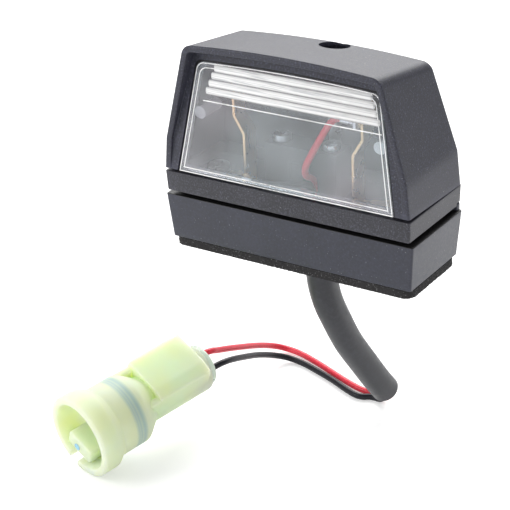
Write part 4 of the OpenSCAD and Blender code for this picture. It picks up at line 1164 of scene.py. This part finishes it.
# %% Bulb
BULB_Y, BULB_Z = -2.6, TRAY_TOP + 23.5
GLASS_R, GLASS_X, NECK_R = 4.9, 12.0, 3.6
CAP_R, CAP_X, TIP_X = 4.17, 15.2, 18.0


def along_bulb(profile):
    """Shell of a lathe about the bulb's axis."""
    return shell(lathe(profile, 64) + np.array([0.0, BULB_Y, BULB_Z]))


glass = [[0, GLASS_R], [5, GLASS_R], *fillet((10.4, 3.3), 1.6, 90, 10, 6), [GLASS_X, NECK_R], [GLASS_X, 0]]
glass = [[-x, r] for x, r in glass[:0:-1]] + glass
add_piece("bulb_envelope", build_mesh("bulb_envelope", [along_bulb(glass)]), bulb_clear, "bulb_glass",
          ["bulb_glass"])
cap = [[GLASS_X + 0.05, 0], [GLASS_X + 0.05, 3.9], [GLASS_X + 0.2, CAP_R], [CAP_X, CAP_R],
       *fillet((CAP_X, CAP_R - 1.0), 1.0, 90, 20, 5), [16.6, 1.5], [17.6, 1.25], [17.95, 0.8], [TIP_X, 0]]
for side, way in (("left", -1), ("right", 1)):
    cap_mesh = build_mesh("bulb_end_" + side, [along_bulb([[way * x, r] for x, r in cap])])
    add_piece("bulb_end_" + side, cap_mesh, tinned, "tinned_metal", ["bulb_cap_" + side])

# %% [markdown]
# ## Plug
# The plug's housing is one nylon moulding: a round tail with a flat-topped block on it, a cone up to
# the barrel, a rim round the mouth with a key slot, and a tongue inside the mouth. The round parts are
# one lathe with a hollow mouth. The block and the tongue are rounded boxes joined to it by Booleans, so
# that the milky finish sees one solid and no inner walls.

# %% Plug housing
TAIL_X, TAIL_R, BARREL_R, RIM_R, EDGE_R, PLUG_L = 1.6, 6.1, 9.05, 10.6, 0.7, 39.2
MOUTH_X, MOUTH_R = PLUG_L - 14.4, 7.7


def at_plug_lathe(profile, sides):
    """Shell of a lathe about the plug's axis."""
    return shell(at_plug(lathe(profile, sides)))


def housing_profile():
    """Outside of the housing from its tail to the rim, then down the mouth to the middle."""
    tail = [[TAIL_X, 0], [TAIL_X, TAIL_R - EDGE_R],
            *fillet((TAIL_X + EDGE_R, TAIL_R - EDGE_R), EDGE_R, 180, 90, 4)]
    cone = [[19.4, TAIL_R], [19.9, 6.22], [20.4, 6.55], [23.2, 8.6], [23.7, 8.9], [24.3, BARREL_R]]
    rim = [[31.5, BARREL_R], [32.1, 9.12], [33.9, 10.4], [34.5, RIM_R], [PLUG_L - EDGE_R, RIM_R],
           *fillet((PLUG_L - EDGE_R, RIM_R - EDGE_R), EDGE_R, 80, 10, 4),
           *fillet((PLUG_L - 0.5, 9.1), 0.5, 360, 270, 5)]
    mouth = [[30.0, MOUTH_R], [MOUTH_X + 0.4, MOUTH_R], [MOUTH_X, MOUTH_R - 0.4], [MOUTH_X, 0]]
    return tail + cone + rim + mouth


print("points of the housing's profile:", len(housing_profile()))


def round_corners(points, r, n=5):
    """Convex outline with each corner replaced by an arc of radius r, drawn as a curve from one side to
    the next: (1 - t)^2 a + 2 t (1 - t) c + t^2 b, with a and b at distance r from the corner c."""
    c = np.array(points, float)
    before = np.roll(c, 1, axis=0) - c
    after = np.roll(c, -1, axis=0) - c
    a = (c + r * before / np.linalg.norm(before, axis=1, keepdims=True))[:, None]
    b = (c + r * after / np.linalg.norm(after, axis=1, keepdims=True))[:, None]
    t = np.linspace(0, 1, n)[None, :, None]
    return ((1 - t) ** 2 * a + 2 * t * (1 - t) * c[:, None] + t ** 2 * b).reshape(-1, 2)


# %% Block, cheeks, tongue and cuts
BLOCK = [[-7.3, -0.5], [6.0, -0.5], [6.0, 5.9], [3.1, 6.9], [-7.3, 7.1]]
BLOCK_X0, BLOCK_X1, BLOCK_EDGE, BLOCK_END = 3.4, 19.1, 0.6, 0.4
CHEEK_W, CHEEK_Z0, CHEEK_Z1 = 2.0, -0.5, 5.6
TONGUE_X, TONGUE_Y, TONGUE_W, TONGUE_Z0, TONGUE_Z1 = PLUG_L - 1.2, -0.6, 8.4, -7.6, -3.4
KEY_L, KEY_Y, KEY_W = 5.0, -0.9, 3.0
WIRE_Y = 2.4


def wire_ways(x0, x1, r):
    """Cutters for the two wires, as rods from x0 to x1."""
    return [rod(x0, x1, r, 32) + np.array([0, side * WIRE_Y, 0]) for side in (-1, 1)]


def plug_mesh(sharp=28.0):
    """Housing: the lathe joined with its block, cheeks and tongue, and cut by the key slot and the
    ways of the wires."""
    body = build_mesh("plug_shell", [at_plug_lathe(housing_profile(), 120)], sharp)
    block = rounded_bar(round_corners(BLOCK, BLOCK_EDGE), BLOCK_X0, BLOCK_X1, BLOCK_END)
    cheeks = [rounded_block(BLOCK_X1 - 1.1, MOUTH_X - 0.2, y, y + CHEEK_W, CHEEK_Z0, CHEEK_Z1)
              for y in (BLOCK[0][0], BLOCK[1][0] - CHEEK_W)]
    key = rounded_block(PLUG_L - KEY_L, 43.0, KEY_Y - KEY_W / 2, KEY_Y + KEY_W / 2, -14.0, -3.0, 0.3, 0.2)
    tongue = rounded_block(MOUTH_X - 0.8, TONGUE_X, TONGUE_Y - TONGUE_W / 2, TONGUE_Y + TONGUE_W / 2,
                           TONGUE_Z0, TONGUE_Z1)
    steps = [("UNION", block), ("UNION", cheeks[0]), ("UNION", cheeks[1]), ("DIFFERENCE", key),
             ("UNION", tongue)] + [("DIFFERENCE", way) for way in wire_ways(0, 7.0, 2.12)]
    for operation, points in steps:
        body = carve(body, build_mesh("part", [shell(at_plug(points))]), operation, sharp)
    return body


add_piece("plug_body", plug_mesh(), nylon, "plug_nylon", ["plug_housing"])


# %% Seal and back plate of the plug
SEAL_LIP, SEAL_FOOT = 7.25, 6.8
PLATE_R, PLATE_STEP, WIRE_HOLE_R = 5.4, 0.8, 0.9
seal = [[25.6, SEAL_FOOT], [25.6, 7.4], *fillet((26.2, SEAL_LIP), 0.4, 160, 20, 6), [26.7, 7.3],
        *fillet((27.2, SEAL_LIP), 0.4, 160, 20, 6), [27.8, 7.4], [27.8, SEAL_FOOT], [25.6, SEAL_FOOT]]
seal_mesh = build_mesh("seal_ring", [at_plug_lathe(seal, 96)])
add_piece("plug_seal_ring", seal_mesh, seal_green, "plug_seal_rubber", ["plug_seal"])
plate = [[0, 0], [0, PLATE_R - PLATE_STEP],
         *fillet((PLATE_STEP, PLATE_R - PLATE_STEP), PLATE_STEP, 180, 90, 5),
         [TAIL_X - 0.05, PLATE_R], [TAIL_X - 0.05, 0]]
plate_mesh = build_mesh("back_plate", [at_plug_lathe(plate, 64)])
for way in wire_ways(-1, 4, WIRE_HOLE_R):
    plate_mesh = carve(plate_mesh, build_mesh("way", [shell(at_plug(way))]))
add_piece("plug_back_plate", plate_mesh, retainer_clear, "retainer_clear", ["plug_retainer"])

# %% [markdown]
# ## The red wire runs to the plug
# The red wire's route ends at the plug, whose pieces are made above.

print("the red wire ends at the plug")

# %% [markdown]
# ## Finishes on the CAD's own small parts
# Screws, rivets, contact strips and seals have the right shape in the CAD already. They keep their
# meshes and only get the finishes made above.

# %% Dress the CAD nodes
DRESS = {
    "threaded_inserts": insert_brass, "grommet": seal_black, "base_seal": seal_black,
    "tray_screws": screw_steel, "lead_block": block_black, "block_screws": screw_steel,
    "contact_left": brass, "contact_right": brass, "contact_rivets": brass,
    "terminal_left": tinned, "terminal_right": tinned, "bulb_filament": tinned,
    "cover_screw": screw_steel, "cover_washer": seal_black, "plug_pins": tinned,
    "wire_seals": wire_seal_blue, "plug_lock": lock_blue,
}
for name, finish in DRESS.items():
    node = nodes[name]
    node.data.materials.clear()
    node.data.materials.append(finish)
print("dressed:", len(DRESS))

# %% [markdown]
# ## Floor and studio light
# A sheet of white paper lies under the lead's lowest point and keeps the object's soft shadow, while
# rays from the camera see it nearly white. The light is a white room and three large soft lamps, of
# which the one above and behind gives the roof its sheen and the two at the front light the faces. A
# small bright card under the right end shows as a sheen in the faces there.

# %% Floor
FLOOR_Z, FLOOR_HALF, PAPER_GLOW = -50.45, 0.5, 0.42


def floor_material():
    """White paper, to which camera, glossy and transmission rays see some white added."""
    material, shader = new_material("floor_paper", (0.8, 0.8, 0.8), {"Roughness": 0.9})
    rays = add_node(material, "ShaderNodeLightPath").outputs
    bent = maths(material, "MAXIMUM", rays["Is Glossy Ray"], rays["Is Transmission Ray"])
    seen = maths(material, "MAXIMUM", rays["Is Camera Ray"], bent)
    level = maths(material, "MULTIPLY", seen, PAPER_GLOW)
    glow = add_node(material, "ShaderNodeEmission", {"Strength": level}).outputs["Emission"]
    both = add_node(material, "ShaderNodeAddShader", {0: shader.outputs["BSDF"], 1: glow})
    feed(material, both.outputs["Shader"], material.node_tree.nodes["Material Output"].inputs["Surface"])
    return material


floor_mesh = bpy.data.meshes.new("floor")
floor_corners = [(x * FLOOR_HALF, y * FLOOR_HALF, FLOOR_Z * MM)
                 for x, y in ((-1, -1), (1, -1), (1, 1), (-1, 1))]
floor_mesh.from_pydata(floor_corners, [], [(0, 1, 2, 3)])
floor_mesh.materials.append(floor_material())
floor = bpy.data.objects.new("floor", floor_mesh)
bpy.context.scene.collection.objects.link(floor)
print("floor at", FLOOR_Z)


# %% World and lamps
def white_room(ambient):
    """World: white for camera and transmission rays, and a plain ambient level otherwise."""
    world = bpy.data.worlds.new("studio")
    bpy.context.scene.world = world
    world.use_nodes = True
    world.node_tree.nodes.clear()
    rays = add_node(world, "ShaderNodeLightPath").outputs
    seen = maths(world, "MAXIMUM", rays["Is Camera Ray"], rays["Is Transmission Ray"])
    dim, white = (add_node(world, "ShaderNodeBackground", {"Color": WHITE, "Strength": level})
                  for level in (ambient, 1.0))
    mix = add_node(world, "ShaderNodeMixShader", {
        "Fac": seen, 1: dim.outputs["Background"], 2: white.outputs["Background"]})
    add_node(world, "ShaderNodeOutputWorld", {"Surface": mix.outputs["Shader"]})


def soft_lamp(name, place, aim, width, power):
    """Square soft lamp at a place in metres, turned to a point."""
    lamp = bpy.data.objects.new(name, bpy.data.lights.new(name, "AREA"))
    lamp.data.shape = "SQUARE"
    lamp.data.size = width
    lamp.data.energy = power
    lamp.location = place
    lamp.rotation_euler = (Vector(aim) - Vector(place)).to_track_quat("-Z", "Y").to_euler()
    bpy.context.scene.collection.objects.link(lamp)


white_room(0.55)
soft_lamp("top_back", (-0.22, 0.55, 0.46), (0, 0, 0), 0.6, 5.6)
soft_lamp("front_left", (-0.5, -0.5, 0.35), (0, 0, 0), 0.5, 3.0)
soft_lamp("front_fill", (0.35, -0.7, 0.1), (-0.02, 0, -0.02), 0.5, 1.0)
soft_lamp("right_card", (0.125, 0.08, -0.049), (0.125, 0.08, 0.1), 0.12, 0.06)
print("lights ready")

# %% Finish
bpy.context.scene.view_settings.view_transform = "Standard"
